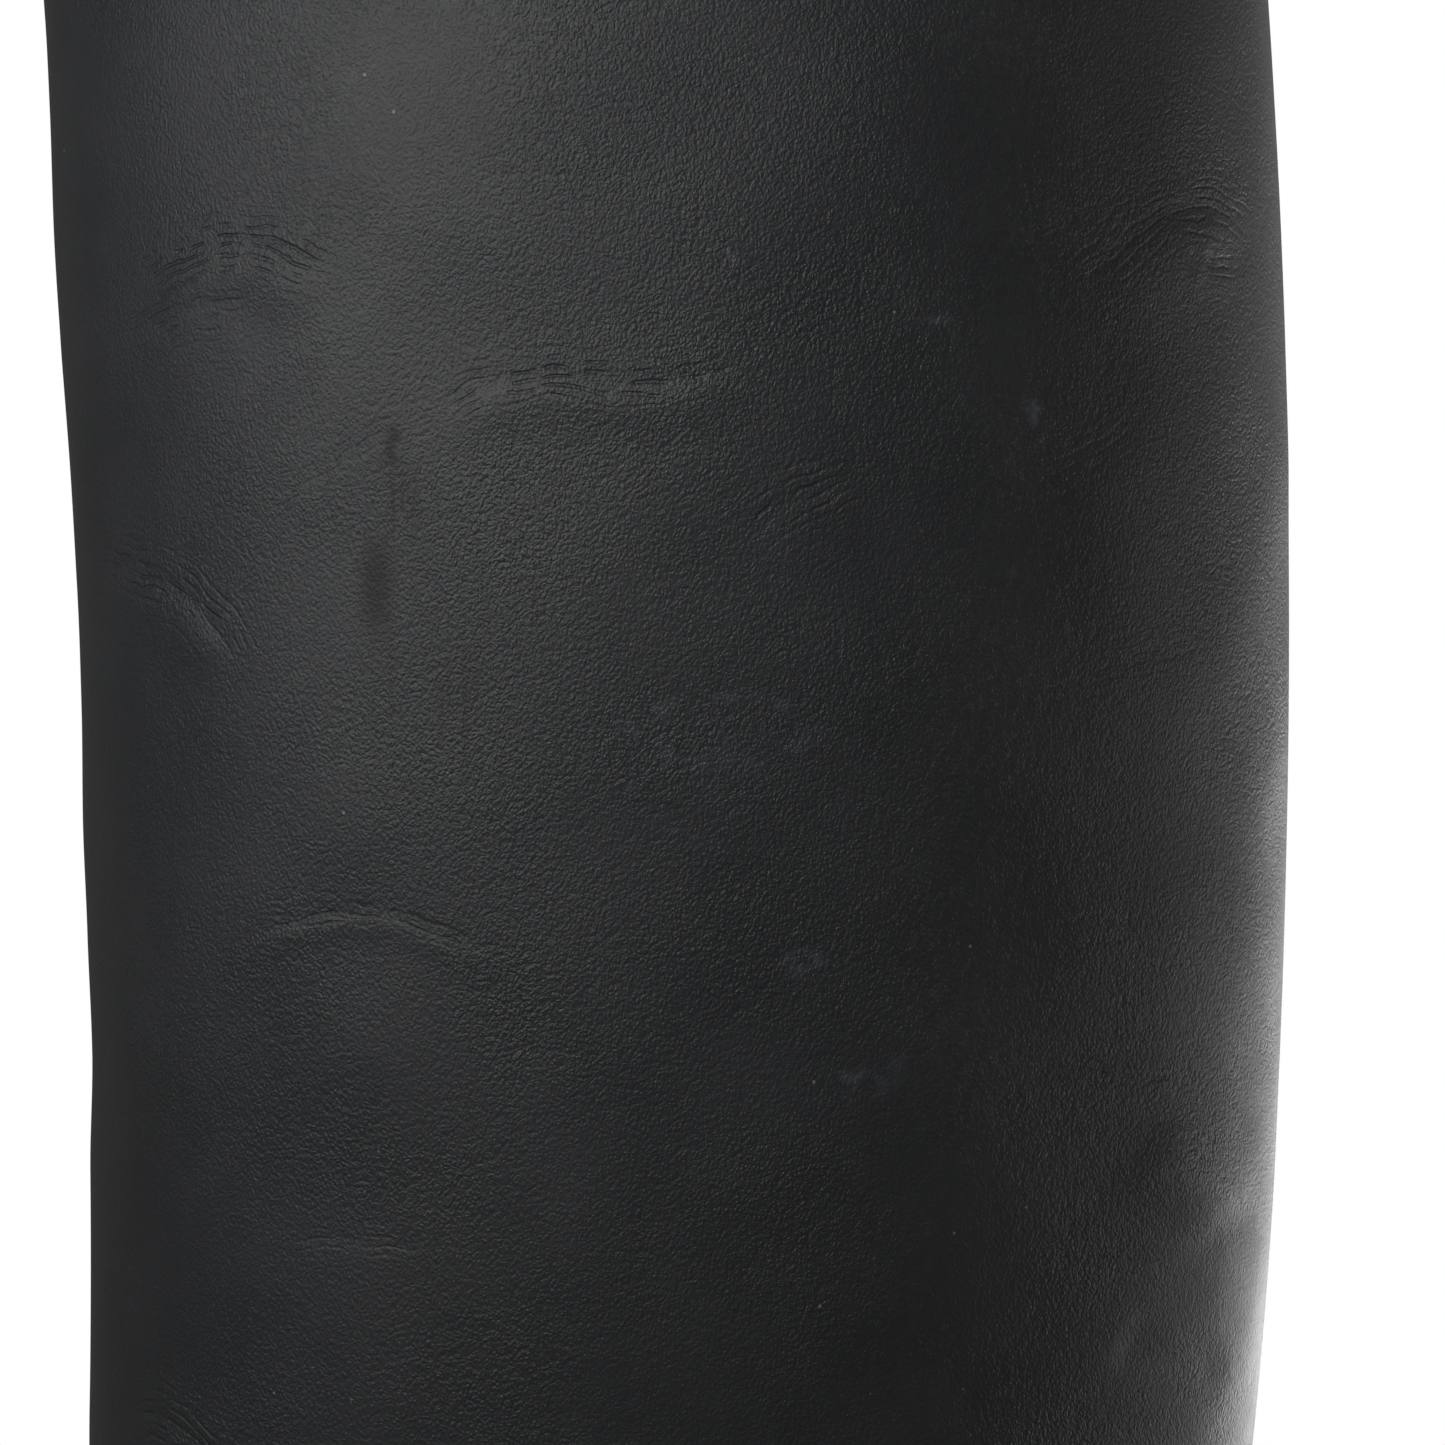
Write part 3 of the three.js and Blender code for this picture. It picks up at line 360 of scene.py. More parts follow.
class Shader:
    """Builds the nodes of one material. Patterns are placed by the object's own coordinates, in metres."""

    def __init__(self, name, **sockets):
        self.material = bpy.data.materials.new(name)
        self.material.use_nodes = True
        self.tree = self.material.node_tree
        self.surface = self.tree.nodes["Principled BSDF"]
        for key, value in sockets.items():
            self.surface.inputs[key.replace("_", " ")].default_value = value
        self.place = self.node("ShaderNodeTexCoord").outputs["Object"]

    def node(self, kind, inputs=None, **settings):
        made = self.tree.nodes.new(kind)
        for key, value in settings.items():
            setattr(made, key, value)
        for key, value in (inputs or {}).items():
            if isinstance(value, bpy.types.NodeSocket):
                self.tree.links.new(value, made.inputs[key])
            else:
                made.inputs[key].default_value = value
        return made

    def math(self, operation, a, b=0.0):
        return self.node("ShaderNodeMath", {0: a, 1: b}, operation=operation).outputs[0]

    def add(self, *values):
        total = values[0]
        for value in values[1:]:
            total = self.math("ADD", total, value)
        return total

    def times(self, *values):
        total = values[0]
        for value in values[1:]:
            total = self.math("MULTIPLY", total, value)
        return total

    def moved(self, scale=(1, 1, 1), rotation=(0, 0, 0)):
        inputs = {"Vector": self.place, "Scale": scale, "Rotation": rotation}
        return self.node("ShaderNodeMapping", inputs).outputs[0]

    def noise(self, scale, detail=2.0, vector=None, roughness=0.5):
        inputs = {"Vector": vector or self.place, "Scale": scale, "Detail": detail, "Roughness": roughness}
        return self.node("ShaderNodeTexNoise", inputs).outputs["Fac"]

    def cells(self, scale, vector=None, feature="F1", smoothness=None):
        inputs = {"Vector": vector or self.place, "Scale": scale}
        if smoothness is not None:
            inputs["Smoothness"] = smoothness
        return self.node("ShaderNodeTexVoronoi", inputs, feature=feature).outputs["Distance"]

    def ramp(self, value, low, high, to_low=0.0, to_high=1.0):
        inputs = {"Value": value, "From Min": low, "From Max": high, "To Min": to_low, "To Max": to_high}
        return self.node("ShaderNodeMapRange", inputs, interpolation_type="SMOOTHSTEP").outputs[0]

    def vector(self, operation, a, b=None, output="Vector", **inputs):
        inputs = {0: a, **({} if b is None else {1: b}), **inputs}
        return self.node("ShaderNodeVectorMath", inputs, operation=operation).outputs[output]

    def warped(self, scale, amount, vector=None):
        """The vector, pushed about by noise of that scale."""
        base = vector or self.place
        swirl = self.node("ShaderNodeTexNoise", {"Vector": base, "Scale": scale, "Detail": 1.0})
        centred = self.vector("SUBTRACT", swirl.outputs["Color"], (0.5, 0.5, 0.5))
        return self.vector("ADD", base, self.vector("SCALE", centred, Scale=amount))

    def mix(self, factor, a, b):
        inputs = {0: factor, 6: a, 7: b}
        return self.node("ShaderNodeMix", inputs, data_type="RGBA").outputs[2]

    def spot(self, centre, radius, tilt=0.0, ring=None):
        """A soft ellipse (or, with `ring`, its outline of that relative width) on the boot's outer side."""
        offset = self.vector("SUBTRACT", self.place, centre)
        inputs = {"Vector": offset, "Angle": tilt}
        turned = self.node("ShaderNodeVectorRotate", inputs, rotation_type="Y_AXIS").outputs[0]
        sides = (1 / (radius[0] * MM), 1 / SPOT_DEPTH, 1 / (radius[1] * MM))
        away = self.vector("LENGTH", self.vector("MULTIPLY", turned, sides), output="Value")
        if ring is None:
            return self.ramp(away, 1.0, 0.2)
        off = self.math("ABSOLUTE", self.math("SUBTRACT", away, 1.0))
        return self.ramp(off, ring, 0.0)

    def bump(self, height, distance):
        inputs = {"Height": height, "Distance": distance}
        below = self.surface.inputs["Normal"]
        if below.is_linked:
            inputs["Normal"] = below.links[0].from_socket
        self.connect("Normal", self.node("ShaderNodeBump", inputs).outputs[0])

    def connect(self, name, value):
        self.tree.links.new(value, self.surface.inputs[name])


CALF_X, CALF_Y = to_row(np.array([(CALF_FRONT + BACK_LINE) / 2, -CALF_LATERAL, 0]))[:2]


def on_calf(x, z):
    """A point on the outer side, x mm behind the calf's middle and z mm above the floor."""
    return (CALF_X + x * MM, CALF_Y, z * MM)


GRAIN_SCALE = 2500
GRAIN_DEPTH = 0.0001
ROUGH = 0.47
CREASE_PITCH = 1.15  # mm from one fine crease to the next, across a fold
# Marks on the outer side: place (mm behind the calf's middle, height), half sizes in mm, tilt, strength.
STREAKS = [(-25.1, 298, 14, 16, 0, 0.45), (-31.1, 320, 4, 6, 0, 0.6)]
SMEARS = [
    (0.5, 293, 15, 9, 0, 0.16),
    (37.6, 330, 1.5, 2.6, 0.2, 1.6),
    (35.4, 312, 1.2, 3.6, 0.25, 1.1),
    (5.4, 345.5, 0.7, 3.6, 0.5, 0.9),
    (26.9, 339.4, 3.4, 0.8, 0.1, 0.8),
    (12.4, 270.7, 3.8, 2.4, 0, 1.3),
    (18.9, 258, 7, 3.2, 0.35, 0.9),
]


def calf_leather(name):
    """Smooth black calf: a fine pebble and soft mottling in the gloss."""
    s = Shader(name, IOR=1.45)
    grain_place = s.warped(700, 0.0006, s.moved(scale=(1, 1, 0.82), rotation=(0, 0.5, 0)))
    pebble = s.cells(GRAIN_SCALE, grain_place, "SMOOTH_F1", smoothness=0.35)
    fine = s.cells(GRAIN_SCALE * 1.9, grain_place)
    patchy = s.ramp(s.noise(45, 3), 0.35, 0.65, 0.7, 1.15)
    mottle = s.noise(60, 4, roughness=0.6)
    roughness = s.add(
        s.ramp(mottle, 0.3, 0.7, ROUGH - 0.03, ROUGH + 0.04),
        s.ramp(s.noise(14, 2), 0.35, 0.65, -0.02, 0.03),
        s.times(pebble, 0.03),
    )
    tone = s.mix(s.ramp(mottle, 0.35, 0.65), (0.0086, 0.0094, 0.0108, 1), (0.0114, 0.0122, 0.0138, 1))
    grain = s.times(s.add(s.times(pebble, -1.0), s.times(fine, -0.55)), patchy)
    return s, tone, roughness, grain


def finished(s, tone, roughness, grain):
    """The calf's material, once its colour and gloss are settled."""
    s.connect("Base Color", tone)
    s.connect("Roughness", roughness)
    s.bump(grain, GRAIN_DEPTH)
    return s.material


def worn_calf():
    """The leg's leather: creases along the folds, darker and rougher streaks and spots, hazy smears and dust.
    """
    s, tone, roughness, grain = calf_leather("calf leather, leg")

    def marks(pattern, table):
        spots = [s.times(s.spot(on_calf(x, z), (a, b), tilt), pattern, k) for x, z, a, b, tilt, k in table]
        return s.add(*spots)

    distance = s.node("ShaderNodeAttribute", attribute_name="fold_distance").outputs["Fac"]
    strength = s.node("ShaderNodeAttribute", attribute_name="fold_strength").outputs["Fac"]
    wander = s.add(distance, s.ramp(s.noise(130, 2), 0.3, 0.7, -0.55, 0.55))
    lines = s.ramp(s.math("SINE", s.times(wander, 2 * math.pi / CREASE_PITCH)), -1.0, -0.1, 1.0, 0.0)
    cut = s.times(lines, s.ramp(s.noise(330, 2), 0.4, 0.58), strength)
    s.bump(s.times(cut, -1.0), 0.00022)
    # Streaks and spots where the leather is made darker and rougher.
    dark_marks = s.add(
        s.spot(on_calf(-32.9, 311), (2.7, 7.4)),
        s.times(s.spot(on_calf(-31, 326), (1.7, 3.2)), s.ramp(s.noise(520, 2), 0.42, 0.5)),
        marks(s.ramp(s.noise(900, 1, s.moved(scale=(1, 1, 0.06))), 0.56, 0.66), STREAKS),
    )
    smear = s.ramp(s.noise(420, 3), 0.42, 0.66)
    haze = s.add(
        s.times(s.spot(on_calf(4.5, 295.5), (9.4, 3.4), ring=0.3), smear, 0.42),
        s.times(s.spot(on_calf(6.2, 291), (12.0, 8.0), ring=0.2), smear, 0.2),
        marks(smear, SMEARS),
    )
    dust = s.times(s.ramp(s.cells(190), 0.045, 0.02), s.ramp(s.noise(33, 1), 0.5, 0.62))
    tone = s.mix(s.times(dark_marks, 0.9), tone, (0.004, 0.004, 0.0045, 1))
    tone = s.mix(s.times(haze, 0.55), tone, (0.05, 0.052, 0.058, 1))
    tone = s.mix(s.times(dust, 0.55), tone, (0.22, 0.22, 0.22, 1))
    return finished(s, tone, s.add(roughness, s.times(cut, 0.05), s.times(dark_marks, 0.14)), grain)


def plain_leather(name, dark, light, roughness, scale, depth):
    """Lining and insole leather: a soft mottled colour, open grain and patches of varying gloss."""
    s = Shader(name, Roughness=roughness)
    mottle = s.noise(80, 4, roughness=0.6)
    s.connect("Base Color", s.mix(s.ramp(mottle, 0.3, 0.7), dark, light))
    s.connect("Roughness", s.ramp(s.noise(35, 2), 0.3, 0.7, roughness - 0.06, roughness + 0.08))
    s.bump(s.cells(scale, s.warped(500, 0.0006), "SMOOTH_F1", 0.4), depth)
    return s.material


def sole_leather(name, across):
    """Waxed edge of sole leather: fine lamination along the edge, with scuffs; `across` sets its scale."""
    s = Shader(name, Roughness=0.5)
    layers = s.noise(9, 5, s.moved(scale=(1, 1, across)), roughness=0.65)
    wear = s.ramp(s.noise(110, 4), 0.52, 0.72)
    waxed = s.mix(s.ramp(layers, 0.3, 0.7), (0.014, 0.0095, 0.007, 1), (0.032, 0.021, 0.015, 1))
    s.connect("Base Color", s.mix(s.times(wear, 0.4), waxed, (0.09, 0.06, 0.04, 1)))
    s.connect("Roughness", s.add(s.ramp(layers, 0.3, 0.7, 0.42, 0.58), s.times(wear, 0.2)))
    s.bump(layers, 0.0002)
    s.bump(s.noise(1600, 2), 0.00003)
    return s.material


def rubber():
    """Dusty black heel rubber."""
    s = Shader("heel rubber", Roughness=0.75)
    dusty = s.ramp(s.noise(90, 4), 0.45, 0.75)
    worn = s.mix(s.times(dusty, 0.5), (0.012, 0.012, 0.012, 1), (0.06, 0.057, 0.052, 1))
    s.connect("Base Color", worn)
    s.connect("Roughness", s.ramp(s.noise(300, 2), 0.3, 0.7, 0.68, 0.88))
    s.bump(s.noise(1400, 2), 0.00006)
    return s.material


def metal(name, colour, roughness):
    """Polished metal with fine hairline scratches and a little tarnish."""
    s = Shader(name, Metallic=1.0, Roughness=roughness)
    hair = s.noise(1500, 2, s.moved(scale=(1, 0.08, 1)))
    tarnish = s.ramp(s.noise(240, 3), 0.45, 0.75)
    dull = tuple(0.62 * c for c in colour[:3]) + (1,)
    s.connect("Base Color", s.mix(s.times(tarnish, 0.6), colour, dull))
    brushed = s.ramp(hair, 0.3, 0.7, roughness - 0.05, roughness + 0.1)
    s.connect("Roughness", s.add(brushed, s.times(tarnish, 0.1)))
    s.bump(hair, 0.00001)
    return s.material


def fabric(name, dark, light, pitch):
    """Woven tape or canvas: two crossed sets of yarns, `pitch` metres apart."""
    s = Shader(name, Roughness=0.9, Sheen_Weight=0.25)
    parts = s.node("ShaderNodeSeparateXYZ", {0: s.place}).outputs
    turn = 2 * math.pi / pitch
    warp = s.math("SINE", s.times(parts["X"], turn))
    weft = s.math("SINE", s.times(parts["Z"], turn))
    twill = s.math("SINE", s.times(s.add(parts["X"], parts["Z"]), turn * 0.5))
    weave = s.add(s.times(warp, 0.3), s.times(weft, 0.3), s.times(twill, 0.4))
    fuzz = s.noise(1800, 2)
    s.connect("Base Color", s.mix(s.ramp(s.add(weave, fuzz), 0.0, 1.3), dark, light))
    s.bump(s.add(weave, s.times(fuzz, 0.6)), 0.00012)
    return s.material


def thread(name, dark, light):
    """Twisted waxed thread."""
    s = Shader(name, Roughness=0.6)
    ply = s.noise(2600, 1, s.moved(scale=(1, 1, 0.4), rotation=(0.6, 0.4, 0.6)))
    s.connect("Base Color", s.mix(s.ramp(ply, 0.35, 0.65), dark, light))
    s.bump(ply, 0.00008)
    return s.material


def board(name, dark, light, scale):
    """Pressed board or bound cork: flecks of that scale."""
    s = Shader(name, Roughness=0.9)
    flecks = s.cells(scale, s.warped(200, 0.002))
    s.connect("Base Color", s.mix(s.ramp(flecks, 0.1, 0.6), dark, light))
    s.bump(flecks, 0.0002)
    return s.material


# Each finish: its slot in the record, and its material.
FINISHES = {
    "leg": ("upper_leather", worn_calf()),
    "calf": ("upper_leather", finished(*calf_leather("calf leather"))),
    "thread": (
        "upper_leather",
        thread("black thread", (0.016, 0.016, 0.017, 1), (0.05, 0.05, 0.053, 1)),
    ),
    "lining": (
        "lining_leather",
        plain_leather("lining leather", (0.3, 0.2, 0.115, 1), (0.42, 0.3, 0.18, 1), 0.62, 1500, 0.00008),
    ),
    "sock": (
        "lining_leather",
        plain_leather("sock leather", (0.26, 0.17, 0.1, 1), (0.38, 0.26, 0.155, 1), 0.5, 1300, 0.0001),
    ),
    "welt": ("sole_leather", sole_leather("welt leather", 60)),
    "edge": ("sole_leather", sole_leather("sole edge", 90)),
    "lift": ("sole_leather", sole_leather("heel lift edge", 140)),
    "welt thread": ("sole_leather", thread("welt thread", (0.05, 0.04, 0.03, 1), (0.13, 0.1, 0.075, 1))),
    "rubber": ("heel_rubber", rubber()),
    "nickel": ("zip_metal", metal("nickel", (0.62, 0.6, 0.56, 1), 0.24)),
    "brass": ("nail_brass", metal("brass", (0.6, 0.42, 0.17, 1), 0.35)),
    "steel": ("shank_steel", metal("spring steel", (0.4, 0.4, 0.41, 1), 0.4)),
    "tape": (
        "zip_tape",
        fabric("zip tape", (0.008, 0.008, 0.009, 1), (0.03, 0.03, 0.033, 1), 0.0009),
    ),
    "canvas": (
        "stiffener",
        fabric("stiffening canvas", (0.45, 0.38, 0.27, 1), (0.66, 0.58, 0.43, 1), 0.0011),
    ),
    "board": ("insole_board", board("insole board", (0.3, 0.2, 0.12, 1), (0.5, 0.37, 0.23, 1), 900)),
    "cork": ("cork", board("bound cork", (0.2, 0.11, 0.05, 1), (0.5, 0.31, 0.15, 1), 420)),
}


# ------------------------------------------------------------------ the camera, on the photo's stretch of leg
VIEW_SIZE = 159.4 * MM  # the side of the square that the frame takes in at the leg
VIEW_OFFSET = 4.2 * MM  # behind the calf's middle
VIEW_HEIGHT = 296.3 * MM
CAMERA_AWAY = 1.7
SENSOR = 36.0

camera_data = bpy.data.cameras.new("camera")
camera_data.sensor_width = SENSOR
camera_data.lens = SENSOR * CAMERA_AWAY / VIEW_SIZE
camera = bpy.data.objects.new("camera", camera_data)
camera.location = (CALF_X + VIEW_OFFSET, -CAMERA_AWAY, VIEW_HEIGHT)
camera.rotation_euler = (math.pi / 2, 0, 0)
bpy.context.scene.collection.objects.link(camera)
bpy.context.scene.camera = camera


# ------------------------------------------------------------------ where the leg's leather has folded
# Each fold: its course as (mm behind the calf's middle, height), how far its fine lines spread to either
# side, how strong they are, and how far the leather swells below it.
FOLDS = [
    ([(-60.5, 343), (-55, 346.4), (-50, 348.2), (-44, 347.2), (-36.5, 344)], 2.8, 0.85, 0.45),
    ([(-61, 337.5), (-53.5, 341.2), (-45.5, 342.2)], 3.0, 0.5, 0.2),
    ([(-45.1, 319.5), (-34.1, 326.6), (-28.1, 329.5)], 2.0, 0.22, 0.05),
    (
        [(-28.5, 328.2), (-22, 332.2), (-15.5, 333.9), (-7, 332.4), (1.9, 333), (7.9, 335.3)],
        2.2, 0.62, 0.25,
    ),
    ([(-66, 315), (-59.3, 313.3), (-54, 310.3), (-50, 306.5), (-47.3, 301.5)], 2.6, 0.9, 0.4),
    ([(6.4, 316), (11.9, 320.5), (18.9, 322.8)], 3.4, 0.42, 0.15),
    ([(41.9, 342.5), (49.9, 350.5), (56.9, 352.8), (62.9, 349)], 3.6, 0.6, 0.35),
    ([(54.9, 346.8), (60.9, 345.5)], 1.8, 0.45, 0.1),
    ([(37.9, 323), (49.9, 328.8)], 3.0, 0.22, 0.1),
    ([(39.9, 300), (47.9, 303.3), (56.9, 304.4)], 3.4, 0.24, 0.1),
    ([(-49.1, 271.4), (-42.1, 275.4), (-31.1, 276.2), (-25.1, 273.3), (-17.1, 271)], 1.2, 0.5, 0.15),
    ([(34.9, 259.6), (45.9, 258.6), (56.9, 257.2)], 1.8, 0.3, 0.05),
    ([(-61.1, 222.5), (-55.1, 220), (-49.1, 216)], 3.2, 0.7, 0.3),
    ([(50.9, 254), (57.9, 249), (61.9, 242)], 3.4, 0.22, 0.5),
    ([(47.9, 232), (53.9, 228.4), (59.9, 229)], 2.4, 0.12, -0.4),
    ([(-43.1, 241), (-26.1, 240.3)], 1.6, 0.28, 0.05),
    ([(35.9, 238.8), (54.9, 238.4)], 1.2, 0.2, 0.05),
    # the ankle's own folds, below
    ([(-58, 172), (-42, 163), (-20, 160), (4, 165), (28, 176)], 4.5, 0.6, 0.9),
    ([(-60, 150), (-45, 139), (-22, 134), (6, 138), (32, 148)], 5.0, 0.8, 1.2),
    ([(-64, 128), (-50, 117), (-26, 110), (2, 112), (26, 122)], 5.0, 0.75, 1.1),
    ([(12, 196), (30, 202), (48, 212)], 4.0, 0.4, 0.6),
]


def smooth_course(points, count=60):
    """A course through the points, rounded by repeated corner cutting."""
    p = np.array(points, float)
    for _ in range(3):
        cut = np.empty((2 * len(p), 2))
        cut[0], cut[-1] = p[0], p[-1]
        cut[1:-1:2] = 0.75 * p[:-1] + 0.25 * p[1:]
        cut[2:-1:2] = 0.25 * p[:-1] + 0.75 * p[1:]
        p = cut
    along = np.concatenate([[0], np.cumsum(np.linalg.norm(np.diff(p, axis=0), axis=1))])
    s = np.linspace(0, along[-1], count)
    return np.stack([np.interp(s, along, p[:, 0]), np.interp(s, along, p[:, 1])], -1)


def fold_fields(points):
    """At each point (x, z in mm on the outer side): the swelling, and the distance to and strength of the
    nearest fold."""
    swelling = np.zeros(len(points))
    nearest = np.zeros(len(points))
    strongest = np.zeros(len(points))
    for course, spread_mm, strength, lift in FOLDS:
        line = smooth_course(course)
        reach = 5 * spread_mm
        low, high = line.min(0) - reach, line.max(0) + reach
        close = np.where(np.all((points > low) & (points < high), axis=1))[0]
        if not len(close):
            continue
        gap = points[close, None, :] - line[None, :, :]
        away = np.linalg.norm(gap, axis=2)
        k = np.argmin(away, axis=1)
        tangent = unit(np.gradient(line, axis=0))[k]
        offset = gap[np.arange(len(close)), k]
        side = tangent[:, 0] * offset[:, 1] - tangent[:, 1] * offset[:, 0]
        signed = np.where(side < 0, -1, 1) * away[np.arange(len(close)), k]
        s = k / (len(line) - 1)
        ends = smooth(s / 0.25) * smooth((1 - s) / 0.25)
        beyond = np.exp(-np.maximum(0, np.abs(signed) - np.abs(side)) / 1.5)
        here = strength * np.exp(-((signed / spread_mm) ** 2)) * ends * beyond
        below = np.exp(-(((signed + 1.1 * spread_mm) / (1.3 * spread_mm)) ** 2))
        crease = np.exp(-((signed / 0.8) ** 2))
        swelling[close] += ends * beyond * (lift * below - 0.22 * strength * crease)
        better = here > strongest[close]
        nearest[close[better]] = signed[better]
        strongest[close[better]] = here[better]
    return swelling, nearest, strongest


def soft_noise(points, cell, seed):
    """Smooth value noise over (x, z), from -1 to 1."""
    values = np.random.RandomState(seed).uniform(-1, 1, (64, 64))
    p = points / cell + 20
    base = np.floor(p).astype(int)
    f = smooth(p - base)
    i, j = base[:, 0] % 64, base[:, 1] % 64
    a = lerp(values[i, j], values[(i + 1) % 64, j], f[:, 0])
    b = lerp(values[i, (j + 1) % 64], values[(i + 1) % 64, (j + 1) % 64], f[:, 0])
    return lerp(a, b, f[:, 1])


def leg_relief(u, t):
    """The leg's own unevenness in mm, and the fold fields, over a grid; folds are on the outer side."""
    p = surface(u, t) + SHIFT
    flat = np.stack([p[..., 0].ravel() - CALF_X / MM, p[..., 2].ravel()], -1)
    outer = smooth((np.sin(2 * math.pi * u).ravel() + 0.05) / 0.25)  # fades out before the inner side
    swelling, distance, strength = fold_fields(flat)
    around = np.stack([u.ravel() * CALF_GIRTH, p[..., 2].ravel()], -1)
    drift = 0.5 * soft_noise(around, 34, 3) + 0.22 * soft_noise(around, 13, 5)
    return (swelling * outer + drift).reshape(u.shape), distance, strength * outer


def set_folds(piece, distance, strength):
    for name, values in (("fold_distance", distance), ("fold_strength", strength)):
        field = piece.data.attributes.new(name, "FLOAT", "POINT")
        padded = np.zeros(len(piece.data.vertices))
        padded[: len(values)] = values
        field.data.foreach_set("value", padded)


# ------------------------------------------------------------------ the upper
ROUND = (0.55, 0.2, 0.05)  # how far a cut edge's first points drop below the surface


def edge_drop(count, head, tail):
    """The rounding of `count` lines; head and tail say whether the first and last are cut edges."""
    drop = np.zeros(count)
    if head:
        drop[: len(ROUND)] = ROUND
    if tail:
        drop[-len(ROUND) :] = ROUND[::-1]
    return drop


def rounded(grid, front, back, foot, head):
    """How far a grid's points drop towards its cut edges: its first and last columns and rows."""
    columns, rows = grid.shape
    return edge_drop(columns, front, back)[:, None] + edge_drop(rows, foot, head)[None, :]


def vamp_edge(u):
    return VAMP_LEVEL * np.maximum(0, 1 - (np.abs(u) / VAMP_TURN) ** 2.2)


def opening(t):
    return lerp(GAP / 2, ZIP_OPENING, smooth((t - ZIP_LOW + 0.6) / 0.5))


def panel_foot(u):
    edge = vamp_edge(u)
    return np.where(np.abs(u) < VAMP_TURN - VAMP_TUCK, edge + SEAM / per_level(u, edge), 0)


FOOT_TOP = 6.5
COARSE = 0.0057
FINE = 0.0018


def leg_rows():
    """Row values: from -1 to 0 between the panel's foot and FOOT_TOP, and then the level itself."""
    foot = np.concatenate([[0, 0.0028, 0.007], np.linspace(0.014, 1, 52)[:-1]]) - 1
    return np.concatenate([foot, spread([(FOOT_TOP, 0.07), (10.1, 0.0115), (13.2, 0.06), (TOP, 0)])])


def leg_grid(edge, fixed, fixed_turns, free_count):
    """The turns and levels of a leg panel: free columns from its zip edge to `fixed`, then fixed_turns."""
    free = np.concatenate([[0, 0.004, 0.01], np.linspace(0.02, 1, free_count)]) - 1
    rows = leg_rows()
    columns = np.concatenate([free, np.abs(fixed_turns - fixed)])
    c, r = np.meshgrid(columns, rows, indexing="ij")
    t = np.maximum(r, 0)
    for _ in range(10):
        start = edge(t)
        u = np.where(c <= 0, lerp(start, fixed, 1 + c), fixed + c * np.sign(0.5 - fixed))
        t = np.where(r < 0, lerp(panel_foot(np.where(u > 0.5, 0.5, u)), FOOT_TOP, 1 + r), r)
    return u, t


def outer_panel():
    def edge(t):
        return zip_turn(t, opening(t)) - 1

    end = 0.5 - BACK_SEAM
    tail = [end - 0.0014, end - 0.0006, end]
    fixed = np.concatenate([spread([(-0.2, COARSE), (0.015, FINE), (0.485, FINE), (end - 0.002, 0)]), tail])
    u, t = leg_grid(edge, -0.2, fixed[1:], 44)
    relief, distance, strength = leg_relief(u, t)
    calm = smooth((TOP - t) / 0.5) * smooth((t - panel_foot(u)) / 0.6) * smooth((0.5 - u) / 0.02)
    calm *= smooth((u - edge(t)) / 0.03)
    drop = rounded(u, True, True, True, False)
    piece = shell("shaft_outer_leather", u, t, relief * calm - drop, -LEATHER, "leg")
    set_folds(piece, distance, strength * calm.ravel())
    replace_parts(piece, "shaft_outer_panel")


def inner_panel():
    def edge(t):
        return zip_turn(t, -opening(t))

    start = 0.5 + BACK_SEAM
    head = [start, start + 0.0006, start + 0.0014]
    fixed = np.concatenate([head, spread([(start + 0.002, 0.004), (0.6, 0)])])[::-1]
    u, t = leg_grid(edge, 0.6, fixed[1:], 34)
    u, t = u[::-1], t[::-1]
    relief, _, _ = leg_relief(u, t)
    calm = smooth((TOP - t) / 0.5) * smooth(t / 0.6) * smooth((u - 0.5) / 0.02) * smooth((edge(t) - u) / 0.03)
    drop = rounded(u, True, True, True, False)
    piece = shell("shaft_inner_leather", u, t, relief * calm - drop, -LEATHER, "calf")
    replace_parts(piece, "shaft_inner_panel")


VAMP_LAP = 5.5  # how far the vamp's edge lies over the leg's leather
VAMP_TUCK = 0.014  # before the vamp's tips, the leg's leather reaches down to the welt under them
VAMP_RAISE = 1.45
VAMP_RISE = 7.0  # how far before the seam it starts to rise on to it
# Creases over the toes' joints: share of the last's length, depth and half width in mm, lean.
VAMP_CREASES = [(0.69, 0.55, 3.2, 0.05), (0.655, 0.4, 2.6, -0.05), (0.73, 0.3, 2.6, 0.1)]


def vamp():
    end = VAMP_TURN * 0.985
    u1 = spread([(-end, 0.003), (-0.2, 0.0045), (0.2, 0.003), (end, 0)])
    b1 = np.concatenate([[0, 0.003, 0.008], spread([(0.016, 0.0085), (1.0, 0)]), np.linspace(1, 2, 8)[1:]])
    u, b = np.meshgrid(u1, b1, indexing="ij")
    top = vamp_edge(u)
    lap = VAMP_LAP / per_level(u, top)
    t = np.where(b <= 1, b * top, top + (b - 1) * lap)
    lifted = VAMP_RAISE * smooth(1 - (1 - np.minimum(b, 1)) * top * per_level(u, top) / VAMP_RISE)
    p = surface(u, t)
    flex = np.zeros(u.shape)
    for centre, depth, width, lean in VAMP_CREASES:
        line = p[..., 0] + centre * LAST_LENGTH + lean * 40 * np.sin(2 * math.pi * u)
        flex -= depth * np.exp(-((line / width) ** 2)) * smooth((t - 0.8) / 1.6)
    around = np.stack([u.ravel() * 300, p[..., 0].ravel()], -1)
    uneven = 0.18 * soft_noise(around, 16, 9).reshape(u.shape) * smooth(t / 0.8)
    drop = rounded(u, False, False, True, True)
    outer = lifted + flex * (1 - lifted / VAMP_RAISE) + uneven - drop
    piece = shell("vamp_leather", u, t, outer, lifted - LEATHER, "calf")
    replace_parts(piece, "vamp")


def cover_top(u):
    return COUNTER_LEVEL * (1 - 0.75 * np.minimum(1, np.abs(u - 0.5) / COVER_TURN) ** 2.5)


